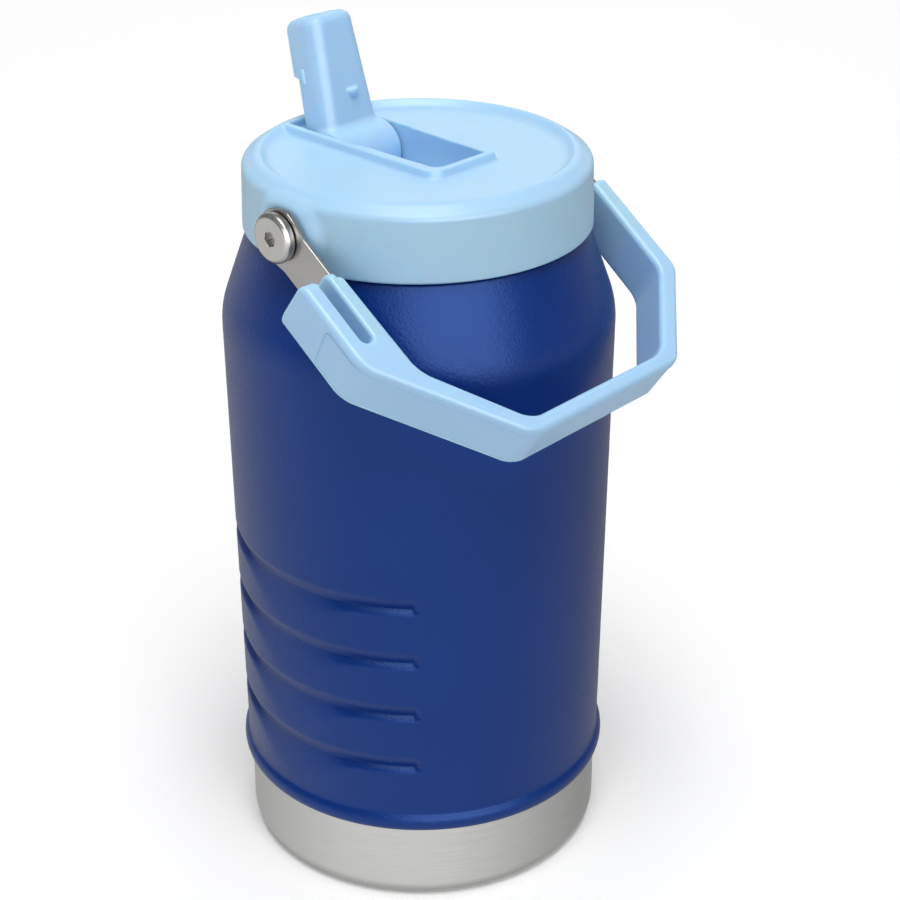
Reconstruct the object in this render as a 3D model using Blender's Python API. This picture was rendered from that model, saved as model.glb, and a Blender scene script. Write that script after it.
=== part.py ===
"""Vacuum-insulated water jug: steel vessel, screw-on lid, flip-up spout and swinging carry handle.

Metres, +Z up. The origin is the centre of the underside, on the jug's own axis. The handle rests over the
front of the shoulder, towards -Y, and its two pivots lie on a line along X. The left side is -X.
"""

import math

import bmesh
import bpy
from mathutils import Matrix

# Turned pieces
LARGE_SIDES = 40
SMALL_SIDES = 18
ON_AXIS = 1e-7
GAP = 0.0003  # left between pieces that touch

# Steel body
WALL = 0.0006  # thickness of every steel wall
BASE_RADIUS = 0.0602
BASE_CORNER = 0.0055
BASE_TOP = 0.0280
RIM_RADIUS = 0.0596  # the base's rim, which stands inside the outer shell
RIM_TOP = 0.0336
DISC_RADIUS = 0.0330
DISC_THICKNESS = 0.0012
DISC_RECESS = 0.0015
PORT_RADIUS = 0.0016
LOW_WALL_RADIUS = 0.0611
LOW_WALL_HEIGHT = 0.0358
# The rolled bead at the foot of the outer shell, as (radius, height) points from the top down
BEAD = (
    (0.0615, 0.0342),
    (0.0623, 0.0330),
    (0.0626, 0.0313),
    (0.0622, 0.0297),
    (0.0613, 0.0288),
    (0.0606, 0.0286),
)
SEAL_STEM_RADIUS = 0.0012
SEAL_RADIUS = 0.0035
SEAL_HEIGHT = 0.0017
GETTER_RADIUS = 0.0050
GETTER_THICKNESS = 0.0016
GETTER_X = 0.0200
SHOULDER_RADIUS = 0.0630
SHOULDER_HEIGHT = 0.1918
SHOULDER_ROUND = 0.0048  # from the corner of wall and cone to each end of its rounding
CONE_TOP_RADIUS = 0.0536
CONE_TOP_HEIGHT = 0.2183
NECK_RADIUS = 0.0492
NECK_FOOT = 0.2222  # height where the cone turns into the neck
NECK_TOP = 0.2337
VESSEL_GAP = 0.0040  # vacuum space between the two walls
VESSEL_BOTTOM = 0.0072
VESSEL_CORNER = 0.0075
VESSEL_NECK_RADIUS = 0.0478
LIP_TOP = 0.2347

# Grip grooves, pressed into the left and right of the outer shell
GROOVE_TOP = 0.1125
GROOVE_PITCH = 0.0200
GROOVE_COUNT = 4
GROOVE_DEPTH = 0.0016
GROOVE_STEP = 0.0040  # height of the upper side
GROOVE_RETURN = 0.0095  # height over which the wall comes back out
GROOVE_FULL = math.radians(36)  # half angle at full depth
GROOVE_END = math.radians(44)  # half angle where a groove has run out

# Screw thread between neck and lid plug
THREAD_PITCH = 0.0060
THREAD_TURNS = 1.5
THREAD_START = 0.2236  # height of the neck ridge's lower end
THREAD_ROOT = 0.0012  # half height of a ridge at its root
THREAD_CREST = 0.0006
NECK_CREST_RADIUS = 0.0459
PLUG_CREST_RADIUS = 0.0465
PLUG_RADIUS = 0.0448

# Lid
LID_TOP = 0.2430
LID_FLOOR = 0.2403  # the recessed top
LID_UNDERSIDE = 0.2380
LID_BOTTOM = 0.21935
LID_RADIUS = 0.0551
LID_TOP_RADIUS = 0.0545
LID_ROUND = 0.0056
SKIRT_INSIDE = 0.0531
PLUG_BOTTOM = 0.2060
PLUG_WALL = 0.0020
PLUG_CORNER = 0.0015
FLANGE_RADIUS = 0.0496
FLANGE_THICKNESS = 0.0012
GASKET_INSIDE = 0.0453
GASKET_OUTSIDE = 0.0490
GASKET_BOTTOM = 0.2350
GASKET_TOP = 0.2362
DISH_RADIUS = 0.0458  # edge of the recessed top's flat floor
DISH_TOP_RADIUS = 0.0479
SKIRT_EDGE = 0.0005

# Spout channel in the lid
COLLAR_TOP_HALF = 0.0133
COLLAR_FOOT_HALF = 0.0160
COLLAR_FRONT = -0.0212
COLLAR_FOOT_FRONT = -0.0240
COLLAR_BACK = 0.0470
COLLAR_CORNER = 0.0040
CHANNEL_HALF = 0.0108
CHANNEL_FRONT = -0.0185
CHANNEL_FLOOR = 0.2295
CHANNEL_BACK = 0.0160
ABOVE_LID = 0.2490  # cutters that open the lid's top reach this height
POCKET_HALF = 0.0120
POCKET_FRONT = 0.0146
SHELF_BACK = 0.0458
SHELF_HEIGHT = 0.2406
HOUSING_HALF = 0.0154
HOUSING_WALL = 0.0024
HOUSING_TOP = 0.2397
HOUSING_BACK = 0.0200  # where the front housing ends, inside the pocket's
POCKET_FOOT = 0.2220

# Spout
SPOUT_Y = 0.0275
SPOUT_Z = 0.2340
SPOUT_LEAN = math.radians(14.5)
DRUM_RADIUS = 0.0092
DRUM_HALF = 0.0115
TRUNNION_RADIUS = 0.0026
TRUNNION_HALF = 0.0136
TUBE_FRONT = -0.0008  # its faces, measured backwards from the spout's axis
TUBE_BACK_LOW = 0.0084
TUBE_BACK_HIGH = 0.0110
TUBE_LENGTH = 0.0444
TUBE_STEP = 0.0264  # where the back steps out for the thumb
TUBE_HALF_FOOT = 0.0103
TUBE_HALF_TIP = 0.0085
TUBE_EDGE = 0.0024
BORE_RADIUS = 0.0030
NUB_X = 0.0015
NUB_HEIGHT_ON_TUBE = 0.0203
NUB_RADIUS = 0.0020
RIB_LOW = (-0.0103, 0.0054, 0.0247)
RIB_HIGH = (0.0103, 0.0068, 0.0295)
MOUTH_FRONT = 0.0026
MOUTH_BACK = 0.0076
MOUTH_HALF = 0.0048
MOUTH_DEPTH = 0.0025
SEAL_SEAT_RADIUS = 0.0066
SEAL_SEAT_BOTTOM = 0.2232
SEAL_RING_INSIDE = 0.0034
SEAL_RING_OUTSIDE = 0.0063
SEAL_RING_BOTTOM = 0.2235
SEAL_RING_TOP = 0.2300
PORT_Y = SPOUT_Y - DRUM_RADIUS * math.sin(SPOUT_LEAN)
VENT_Y = SPOUT_Y - NUB_HEIGHT_ON_TUBE
VENT_HOLE_RADIUS = 0.0023
VALVE_STEM_RADIUS = 0.0020
VALVE_BORE = 0.0007
VALVE_CAP_RADIUS = 0.0040
VALVE_CAP_HEIGHT = 0.0007
VALVE_FOOT_HEIGHT = 0.0018

# Straw and its adaptor
STRAW_RADIUS = 0.0045
STRAW_BORE = 0.0035
STRAW_BOTTOM = 0.0130
STRAW_TOP = 0.2065
TUBE_PORT_RADIUS = 0.0062
TUBE_PORT_BOTTOM = 0.2089
TUBE_PORT_BORE = 0.0032
ADAPTOR_BORE = 0.0034
ADAPTOR_TOP = 0.2140
ADAPTOR_TOP_RADIUS = 0.0080
ADAPTOR_WAIST = 0.0084  # where the plug's floor sits in its groove
ADAPTOR_FLANGE = 0.0102
ADAPTOR_FLANGE_BOTTOM = 0.2036
ADAPTOR_SHOULDER = 0.2096
ADAPTOR_SLEEVE = 0.0066
ADAPTOR_BOTTOM = 0.1980

# Handle pivots
PIVOT_Z = 0.2295
BOSS_RADIUS = 0.0123
BOSS_FACE = 0.0558
BOSS_START = 0.0533
BOSS_INSIDE = 0.0500
BOSS_INSIDE_END = 0.0545
BOSS_INSIDE_RADIUS = 0.0054
TAB_LOW = (0.0515, -0.0131, 0.2235)
TAB_HIGH = (0.0553, -0.0065, 0.2303)
WASHER_THICKNESS = 0.0005
WASHER_RADIUS = 0.0080
WASHER_BORE = 0.0042
INSERT_HOLE_RADIUS = 0.0039
INSERT_HOLE_START = 0.0490
INSERT_RADIUS = 0.0036
INSERT_BORE = 0.0023
INSERT_START = 0.0505
INSERT_END = 0.0556
STRAP_INNER = 0.0570
STRAP_THICKNESS = 0.0014
BOLT_HEAD_RADIUS = 0.0078
BOLT_FACE = 0.0619
BOLT_BEVEL = 0.0009
BOLT_SHOULDER_RADIUS = 0.0039
BOLT_SHANK_RADIUS = 0.0020
BOLT_SHANK_START = 0.0506
BOLT_SOCKET_RADIUS = 0.0023
BOLT_SOCKET_DEPTH = 0.0020

# Handle, with lengths measured from the pivot line along the handle
HANDLE_TILT = math.radians(35.3)
GRIP_HALF_WIDTH = 0.0089
GRIP_EDGE = 0.0018
GRIP_START = 0.0220
GRIP_BEND = 0.0600
GRIP_FRONT_INNER = 0.0877
GRIP_FRONT_OUTER = 0.0930
GRIP_SIDE_OUTER = 0.0612
GRIP_SIDE_INNER = 0.0550
GRIP_FRONT_HALF = 0.0330  # half the length of the front, outside and inside
GRIP_FRONT_INNER_HALF = 0.0298
GRIP_TAPER_END = 0.0400  # where the arms' inner faces start to slope
HOOK_BEND = 0.0523
HOOK_FACE = 0.0705
HOOK_START = 0.0213
HOOK_CORNER = 0.0020
SLOT_OUTER = 0.0647
SLOT_INNER = 0.0603
SLOT_END = 0.0439  # centre of the slot's round end
SOCKET_START = 0.0150
STRAP_HALF_WIDTH = 0.0076
STRAP_EYE_RADIUS = 0.0086
STRAP_HOLE_RADIUS = 0.0042
STRAP_END = 0.0440
STRAP_CORNER = 0.0020

SKY = (0.42, 0.68, 0.88)
ROYAL = (0.016, 0.035, 0.25)
STEEL = (0.60, 0.60, 0.59)
SILICONE = (0.78, 0.80, 0.80)


def clear_scene():
    for obj in list(bpy.data.objects):
        bpy.data.objects.remove(obj, do_unlink=True)


def material(name, color, roughness, metallic):
    made = bpy.data.materials.new(name)
    made.use_nodes = True
    shader = made.node_tree.nodes["Principled BSDF"]
    shader.inputs["Base Color"].default_value = (*color, 1.0)
    shader.inputs["Roughness"].default_value = roughness
    shader.inputs["Metallic"].default_value = metallic
    return made


def add_object(name, bm, parent=None):
    """Turns a bmesh into an object with its faces pointing out and round faces shaded smooth."""
    bmesh.ops.recalc_face_normals(bm, faces=bm.faces)
    mesh = bpy.data.meshes.new(name)
    bm.to_mesh(mesh)
    bm.free()
    mesh.shade_smooth()
    mesh.set_sharp_from_angle(angle=math.radians(35))
    obj = bpy.data.objects.new(name, mesh)
    bpy.context.scene.collection.objects.link(obj)
    obj.parent = parent
    return obj


def paint(obj, color, roughness, metallic=0.0):
    obj.data.materials.clear()
    obj.data.materials.append(material(obj.name, color, roughness, metallic))


def helper(obj):
    obj.hide_render = True
    obj.display_type = "WIRE"
    return obj


def boolean(obj, other, operation):
    modifier = obj.modifiers.new(other.name, "BOOLEAN")
    modifier.operation = operation
    modifier.solver = "EXACT"
    modifier.object = helper(other)


def cut(obj, *cutters):
    for cutter in cutters:
        boolean(obj, cutter, "DIFFERENCE")


def join(obj, *others):
    for other in others:
        boolean(obj, other, "UNION")


def bevel(obj, width, segments, limit_degrees):
    modifier = obj.modifiers.new("Bevel", "BEVEL")
    modifier.width = width
    modifier.segments = segments
    modifier.limit_method = "ANGLE"
    modifier.angle_limit = math.radians(limit_degrees)


def arc(center, radius, start, end, steps):
    """Points of an arc in a plane, from the start angle to the end angle in degrees."""
    points = []
    for step in range(steps + 1):
        angle = math.radians(start + (end - start) * step / steps)
        points.append((center[0] + radius * math.cos(angle), center[1] + radius * math.sin(angle)))
    return points


def revolve(profile, sides=LARGE_SIDES, press=None):
    """Turns a closed (radius, height) outline about Z.

    press(angle, height) is how far the wall is pressed in.
    """
    bm = bmesh.new()
    rings = []
    for radius, height in profile:
        if radius < ON_AXIS:
            rings.append([bm.verts.new((0, 0, height))] * sides)
            continue
        ring = []
        for side in range(sides):
            angle = 2 * math.pi * side / sides
            reach = radius - press(angle, height) if press else radius
            ring.append(bm.verts.new((reach * math.cos(angle), reach * math.sin(angle), height)))
        rings.append(ring)
    for ring, following in zip(rings, rings[1:] + rings[:1]):
        for side in range(sides):
            after = (side + 1) % sides
            corners = dict.fromkeys((ring[side], ring[after], following[after], following[side]))
            if len(corners) > 2:
                bm.faces.new(list(corners))
    return bm


def prism(outline, low, high):
    """A closed (x, y) outline, extruded along Z."""
    bm = bmesh.new()
    bottom = [bm.verts.new((x, y, low)) for x, y in outline]
    top = [bm.verts.new((x, y, high)) for x, y in outline]
    bm.faces.new(bottom)
    bm.faces.new(top)
    for index in range(len(outline)):
        after = (index + 1) % len(outline)
        bm.faces.new((bottom[index], bottom[after], top[after], top[index]))
    return bm


def box(low, high):
    outline = [(low[0], low[1]), (high[0], low[1]), (high[0], high[1]), (low[0], high[1])]
    return prism(outline, low[2], high[2])


def cylinder(radius, low, high, x=0.0, y=0.0, sides=SMALL_SIDES):
    """An upright cylinder."""
    return prism([(x + px, y + py) for px, py in arc((0, 0), radius, 0, 360, sides)[:-1]], low, high)


def along_x(bm):
    """Turns a piece that was made along Z so that it lies along X."""
    bmesh.ops.rotate(bm, verts=bm.verts, matrix=Matrix.Rotation(math.pi / 2, 3, "Y"))
    return bm


def moved(bm, offset):
    bmesh.ops.translate(bm, verts=bm.verts, vec=offset)
    return bm


def helix_ridge(crest_radius, root_radius, start, sides=LARGE_SIDES):
    """A thread ridge of trapezoid section, whose two ends run out to the root."""
    bm = bmesh.new()
    steps = int(THREAD_TURNS * sides)
    fade = sides // 8
    sections = []
    for step in range(steps + 1):
        angle = 2 * math.pi * step / sides
        height = start + THREAD_PITCH * step / sides
        grown = max(0.25, min(1.0, step / fade, (steps - step) / fade))
        crest = root_radius + (crest_radius - root_radius) * grown
        section = (
            (root_radius, -THREAD_ROOT),
            (crest, -THREAD_CREST),
            (crest, THREAD_CREST),
            (root_radius, THREAD_ROOT),
        )
        sections.append(
            [bm.verts.new((r * math.cos(angle), r * math.sin(angle), height + dz)) for r, dz in section]
        )
    bm.faces.new(sections[0])
    bm.faces.new(sections[-1])
    for section, following in zip(sections, sections[1:]):
        for corner in range(4):
            after = (corner + 1) % 4
            bm.faces.new((section[corner], section[after], following[after], following[corner]))
    return bm


def groove_press(angle, height):
    """How far the outer wall is pressed in: four grooves on each side, steep above and gradual below."""
    from_side = abs(math.atan2(math.sin(angle), abs(math.cos(angle))))
    across = (GROOVE_END - from_side) / (GROOVE_END - GROOVE_FULL)
    across = max(0.0, min(1.0, across))
    depth = 0.0
    for index in range(GROOVE_COUNT):
        below = GROOVE_TOP - index * GROOVE_PITCH - height
        if below <= 0:
            share = 1 + below / GROOVE_STEP
        else:
            share = 1 - below / GROOVE_RETURN
        depth = max(depth, share)
    return GROOVE_DEPTH * across * depth


def wall_radius(height):
    """Radius of the outer wall, which widens slightly upwards."""
    share = (height - LOW_WALL_HEIGHT) / (SHOULDER_HEIGHT - LOW_WALL_HEIGHT)
    return LOW_WALL_RADIUS + share * (SHOULDER_RADIUS - LOW_WALL_RADIUS)


def cone_radius(height):
    share = (height - SHOULDER_HEIGHT) / (CONE_TOP_HEIGHT - SHOULDER_HEIGHT)
    return SHOULDER_RADIUS + share * (CONE_TOP_RADIUS - SHOULDER_RADIUS)


def groove_heights():
    heights = []
    for index in range(GROOVE_COUNT):
        line = GROOVE_TOP - index * GROOVE_PITCH
        heights += [line + GROOVE_STEP, line, line - GROOVE_RETURN]
    return heights


def make_outer_shell():
    below = SHOULDER_HEIGHT - SHOULDER_ROUND
    above = SHOULDER_HEIGHT + SHOULDER_ROUND
    outside = [
        (NECK_RADIUS, NECK_TOP),
        (NECK_RADIUS, NECK_FOOT + 0.0008),
        (NECK_RADIUS + 0.0008, NECK_FOOT - 0.0007),
        (CONE_TOP_RADIUS - 0.0013, NECK_FOOT - 0.0018),
        (CONE_TOP_RADIUS, CONE_TOP_HEIGHT),
        (cone_radius(above), above),
        (SHOULDER_RADIUS - 0.0005, SHOULDER_HEIGHT),
        (wall_radius(below), below),
    ]
    outside += [(wall_radius(height), height) for height in groove_heights()]
    outside += [(LOW_WALL_RADIUS, LOW_WALL_HEIGHT), *BEAD]
    inside = [(radius - WALL, height) for radius, height in outside]
    profile = outside + inside[::-1]
    obj = add_object("outer_shell", revolve(profile, press=groove_press))
    paint(obj, ROYAL, 0.42)


def make_base():
    corner = arc((BASE_RADIUS - BASE_CORNER, BASE_CORNER), BASE_CORNER, -90, 0, 3)
    inner_corner = arc((BASE_RADIUS - BASE_CORNER, BASE_CORNER), BASE_CORNER - WALL, 0, -90, 3)
    recess = DISC_RADIUS + GAP
    profile = [(PORT_RADIUS, DISC_RECESS), (recess, DISC_RECESS), (recess, 0)]
    profile += corner
    profile += [(BASE_RADIUS, BASE_TOP), (RIM_RADIUS, BASE_TOP + WALL), (RIM_RADIUS, RIM_TOP)]
    profile += [(RIM_RADIUS - WALL, RIM_TOP), (RIM_RADIUS - WALL, BASE_TOP + GAP)]
    profile += [(BASE_RADIUS - WALL, BASE_TOP - WALL)]
    profile += inner_corner
    profile += [(recess + WALL, WALL), (recess + WALL, DISC_RECESS + WALL), (PORT_RADIUS, DISC_RECESS + WALL)]
    cup = add_object("base_cup", revolve(profile))
    paint(cup, STEEL, 0.34, 1.0)

    disc = add_object("base_disc", cylinder(DISC_RADIUS, 0, DISC_THICKNESS, sides=LARGE_SIDES))
    paint(disc, STEEL, 0.30, 1.0)

    seal_foot = DISC_RECESS + WALL + GAP
    seal_profile = [(0, DISC_RECESS), (SEAL_STEM_RADIUS, DISC_RECESS), (SEAL_STEM_RADIUS, seal_foot)]
    seal_profile += [(SEAL_RADIUS, seal_foot), (SEAL_RADIUS - 0.0002, seal_foot + 0.6 * SEAL_HEIGHT)]
    seal_profile += [(0.6 * SEAL_RADIUS, seal_foot + 0.95 * SEAL_HEIGHT), (0, seal_foot + SEAL_HEIGHT)]
    seal = add_object("vacuum_seal_plug", revolve(seal_profile, SMALL_SIDES))
    paint(seal, (0.20, 0.23, 0.24), 0.2)

    getter_disc = cylinder(GETTER_RADIUS, seal_foot, seal_foot + GETTER_THICKNESS, x=GETTER_X)
    getter = add_object("getter", getter_disc)
    paint(getter, (0.30, 0.29, 0.28), 0.7, 0.6)


def make_inner_vessel():
    low_radius = LOW_WALL_RADIUS - WALL - VESSEL_GAP
    high_radius = SHOULDER_RADIUS - WALL - VESSEL_GAP
    shoulder = SHOULDER_HEIGHT - SHOULDER_ROUND
    outside = [
        (0, VESSEL_BOTTOM),
        (low_radius - VESSEL_CORNER, VESSEL_BOTTOM),
        (low_radius - 0.27 * VESSEL_CORNER, VESSEL_BOTTOM + 0.29 * VESSEL_CORNER),
        (low_radius, VESSEL_BOTTOM + VESSEL_CORNER),
        (high_radius, shoulder),
        (CONE_TOP_RADIUS - VESSEL_GAP, CONE_TOP_HEIGHT - 0.0010),
        (VESSEL_NECK_RADIUS, NECK_FOOT),
        (VESSEL_NECK_RADIUS, NECK_TOP + GAP),
        (NECK_RADIUS, NECK_TOP + GAP),
    ]
    inside = [
        (NECK_RADIUS, LIP_TOP),
        (VESSEL_NECK_RADIUS - WALL, LIP_TOP),
        (VESSEL_NECK_RADIUS - WALL, NECK_FOOT + 0.0001),
        (CONE_TOP_RADIUS - VESSEL_GAP - WALL, CONE_TOP_HEIGHT - 0.0011),
        (high_radius - WALL, shoulder),
        (low_radius - WALL, VESSEL_BOTTOM + VESSEL_CORNER + 0.0001),
        (low_radius - 0.32 * VESSEL_CORNER, VESSEL_BOTTOM + 0.36 * VESSEL_CORNER),
        (low_radius - VESSEL_CORNER - 0.0002, VESSEL_BOTTOM + WALL),
        (0, VESSEL_BOTTOM + WALL),
    ]
    obj = add_object("inner_vessel", revolve(outside + inside))
    root = VESSEL_NECK_RADIUS - WALL / 2
    join(obj, add_object("neck_thread", helix_ridge(NECK_CREST_RADIUS, root, THREAD_START)))
    paint(obj, STEEL, 0.28, 1.0)


def make_lid_plug():
    inside = PLUG_RADIUS - PLUG_WALL
    flange_top = LID_UNDERSIDE - GAP
    flange_foot = flange_top - FLANGE_THICKNESS
    profile = [
        (0, PLUG_BOTTOM),
        (PLUG_RADIUS - PLUG_CORNER, PLUG_BOTTOM),
        (PLUG_RADIUS, PLUG_BOTTOM + PLUG_CORNER),
        (PLUG_RADIUS, flange_foot),
        (FLANGE_RADIUS, flange_foot),
        (FLANGE_RADIUS, flange_top),
        (inside, flange_top),
        (inside, PLUG_BOTTOM + PLUG_WALL),
        (0, PLUG_BOTTOM + PLUG_WALL),
    ]
    obj = add_object("lid_plug", revolve(profile))
    start = THREAD_START - THREAD_PITCH / 2
    join(obj, add_object("plug_thread", helix_ridge(PLUG_CREST_RADIUS, PLUG_RADIUS - 0.0005, start)))
    low = PLUG_BOTTOM - PLUG_WALL
    high = PLUG_BOTTOM + 2 * PLUG_WALL
    adaptor_hole = cylinder(ADAPTOR_WAIST + GAP, low, high, y=PORT_Y)
    vent_hole = cylinder(VALVE_STEM_RADIUS, low, high, x=NUB_X, y=VENT_Y, sides=12)
    cut(obj, add_object("adaptor_hole", adaptor_hole), add_object("plug_vent_hole", vent_hole))
    paint(obj, SKY, 0.5)


def make_gasket():
    profile = [(GASKET_INSIDE, GASKET_BOTTOM + 0.0002), (GASKET_INSIDE + 0.0002, GASKET_BOTTOM)]
    profile += [(GASKET_OUTSIDE, GASKET_BOTTOM), (GASKET_OUTSIDE, GASKET_TOP), (GASKET_INSIDE, GASKET_TOP)]
    obj = add_object("lid_gasket", revolve(profile))
    paint(obj, SILICONE, 0.6)


def lid_profile():
    """The lid without its channel: a recessed top, a rounded rim and a skirt."""
    profile = [(0, LID_FLOOR), (DISH_RADIUS, LID_FLOOR), (DISH_RADIUS + 0.0010, LID_FLOOR + 0.0005)]
    profile += [(DISH_TOP_RADIUS, LID_TOP - 0.0006)]
    profile += arc((LID_TOP_RADIUS - LID_ROUND, LID_TOP - LID_ROUND), LID_ROUND, 90, 0, 3)
    profile += [(LID_RADIUS, LID_BOTTOM + SKIRT_EDGE), (LID_RADIUS - 0.0004, LID_BOTTOM)]
    profile += [(SKIRT_INSIDE + 0.0003, LID_BOTTOM), (SKIRT_INSIDE, LID_BOTTOM + SKIRT_EDGE)]
    profile += [(SKIRT_INSIDE, LID_UNDERSIDE - 0.0008), (SKIRT_INSIDE - 0.0008, LID_UNDERSIDE)]
    profile += [(0, LID_UNDERSIDE)]
    return profile


def collar():
    """The raised frame round the channel, with sloping sides."""
    bm = bmesh.new()
    rings = []
    foot = (COLLAR_FOOT_HALF, COLLAR_FOOT_FRONT, LID_FLOOR - 0.0008)
    top = (COLLAR_TOP_HALF, COLLAR_FRONT, LID_TOP)
    corner = COLLAR_CORNER
    for half, front, height in (foot, top):
        outline = [(-half, COLLAR_BACK), (-half, front + corner), (-half + corner, front)]
        outline += [(half - corner, front), (half, front + corner), (half, COLLAR_BACK)]
        rings.append([bm.verts.new((x, y, height)) for x, y in outline])
    bm.faces.new(rings[0])
    bm.faces.new(rings[1])
    for index in range(len(rings[0])):
        after = (index + 1) % len(rings[0])
        bm.faces.new((rings[0][index], rings[0][after], rings[1][after], rings[1][index]))
    return bm


def from_side(outline, start, end):
    """A closed (y, z) outline, extruded along X."""
    bm = prism(outline, start, end)
    turn = Matrix(((0, 0, 1), (1, 0, 0), (0, 1, 0)))
    bmesh.ops.transform(bm, matrix=turn.to_4x4(), verts=bm.verts)
    return bm


def boss(side):
    """Outer boss, cut off just above the skirt's bottom edge, on the side given as -1 or 1."""
    circle = arc((0, PIVOT_Z), BOSS_RADIUS, 0, 360, 28)[:-1]
    outline = list(dict.fromkeys((y, max(z, LID_BOTTOM + GAP)) for y, z in circle))
    start, end = sorted((side * BOSS_START, side * BOSS_FACE))
    return from_side(outline, start, end)


def side_cylinder(radius, start, end, side):
    """A cylinder on the handle's pivot line."""
    low, high = sorted((side * start, side * end))
    return moved(along_x(cylinder(radius, low, high)), (0, 0, PIVOT_Z))


def pocket_outline():
    """The spout's pocket from the side, (y, z).

    It is round under the drum, with a slope behind it for the open tube.
    """
    reach = DRUM_RADIUS + 0.0004
    back = TUBE_BACK_LOW + GAP
    top = ABOVE_LID
    lean = math.degrees(SPOUT_LEAN)
    start = 180 + math.degrees(math.asin((SPOUT_Z - CHANNEL_FLOOR) / reach))
    end = 360 - lean + math.degrees(math.acos(back / reach))
    shelf_y = SPOUT_Y + (back + (SHELF_HEIGHT - SPOUT_Z) * math.sin(SPOUT_LEAN)) / math.cos(SPOUT_LEAN)
    outline = [(POCKET_FRONT, top), (POCKET_FRONT, CHANNEL_FLOOR)]
    outline += arc((SPOUT_Y, SPOUT_Z), reach, start, end, 14)
    outline += [(shelf_y, SHELF_HEIGHT), (SHELF_BACK, SHELF_HEIGHT), (SHELF_BACK, top)]
    return outline


def channel_cutters():
    yield box((-CHANNEL_HALF, CHANNEL_FRONT, CHANNEL_FLOOR), (CHANNEL_HALF, CHANNEL_BACK, ABOVE_LID))
    yield from_side(pocket_outline(), -POCKET_HALF, POCKET_HALF)
    trunnions = cylinder(TRUNNION_RADIUS + GAP, -TRUNNION_HALF - GAP, TRUNNION_HALF + GAP)
    yield moved(along_x(trunnions), (0, SPOUT_Y, SPOUT_Z))
    yield cylinder(SEAL_SEAT_RADIUS, SEAL_SEAT_BOTTOM, SPOUT_Z, y=PORT_Y)
    yield cylinder(TUBE_PORT_BORE, PLUG_BOTTOM, SPOUT_Z, y=PORT_Y)
    yield cylinder(VENT_HOLE_RADIUS, POCKET_FOOT, SPOUT_Z, x=NUB_X, y=VENT_Y, sides=16)


def make_lid_shell():
    obj = add_object("lid_shell", revolve(lid_profile()))
    front = box(
        (-HOUSING_HALF, CHANNEL_FRONT - HOUSING_WALL, CHANNEL_FLOOR - HOUSING_WALL),
        (HOUSING_HALF, HOUSING_BACK, HOUSING_TOP),
    )
    pocket = box(
        (-HOUSING_HALF, POCKET_FRONT, POCKET_FOOT),
        (HOUSING_HALF, SPOUT_Y + DRUM_RADIUS + HOUSING_WALL, HOUSING_TOP),
    )
    port_tube = cylinder(TUBE_PORT_RADIUS, TUBE_PORT_BOTTOM, POCKET_FOOT + 0.0010, y=PORT_Y)
    join(
        obj,
        add_object("collar", collar()),
        add_object("housing_front", front),
        add_object("housing_pocket", pocket),
        add_object("port_tube", port_tube),
    )
    for name, side in (("left", -1), ("right", 1)):
        tab = box(TAB_LOW, TAB_HIGH)
        if side < 0:
            bmesh.ops.scale(tab, vec=(-1, 1, 1), verts=tab.verts)
        join(
            obj,
            add_object(f"boss_{name}", boss(side)),
            add_object(
                f"boss_inside_{name}",
                side_cylinder(BOSS_INSIDE_RADIUS, BOSS_INSIDE, BOSS_INSIDE_END, side),
            ),
            add_object(f"boss_tab_{name}", tab),
        )
    for index, cutter in enumerate(channel_cutters()):
        cut(obj, add_object(f"channel_cutter_{index}", cutter))
    for name, side in (("left", -1), ("right", 1)):
        hole = side_cylinder(INSERT_HOLE_RADIUS, INSERT_HOLE_START, STRAP_INNER, side)
        cut(obj, add_object(f"insert_hole_{name}", hole))
    paint(obj, SKY, 0.42)


def make_spout_seal():
    """A ring whose top is hollowed to the drum."""
    ring = [(SEAL_RING_INSIDE, SEAL_RING_BOTTOM), (SEAL_RING_OUTSIDE, SEAL_RING_BOTTOM)]
    ring += [(SEAL_RING_OUTSIDE, SEAL_RING_TOP), (SEAL_RING_INSIDE, SEAL_RING_TOP)]
    obj = add_object("spout_seal", moved(revolve(ring, SMALL_SIDES), (0, PORT_Y, 0)))
    drum = along_x(cylinder(DRUM_RADIUS + GAP, -TRUNNION_HALF, TRUNNION_HALF, sides=32))
    moved(drum, (0, SPOUT_Y, SPOUT_Z))
    cut(obj, add_object("seal_hollow", drum))
    paint(obj, SILICONE, 0.6)


def make_vent_valve():
    cap_foot = CHANNEL_FLOOR + GAP
    cap_top = CHANNEL_FLOOR + VALVE_CAP_HEIGHT
    below = CHANNEL_FLOOR - HOUSING_WALL - GAP
    foot = CHANNEL_FLOOR - HOUSING_WALL - VALVE_FOOT_HEIGHT
    profile = [(VALVE_BORE, cap_top), (VALVE_CAP_RADIUS, cap_top), (VALVE_CAP_RADIUS, cap_foot)]
    profile += [(VALVE_STEM_RADIUS, cap_foot), (VALVE_STEM_RADIUS, below), (0.8 * VALVE_CAP_RADIUS, below)]
    profile += [(0.7 * VALVE_CAP_RADIUS, foot), (VALVE_BORE, foot)]
    obj = add_object("vent_valve", moved(revolve(profile, 16), (NUB_X, VENT_Y, 0)))
    paint(obj, SILICONE, 0.6)


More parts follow.
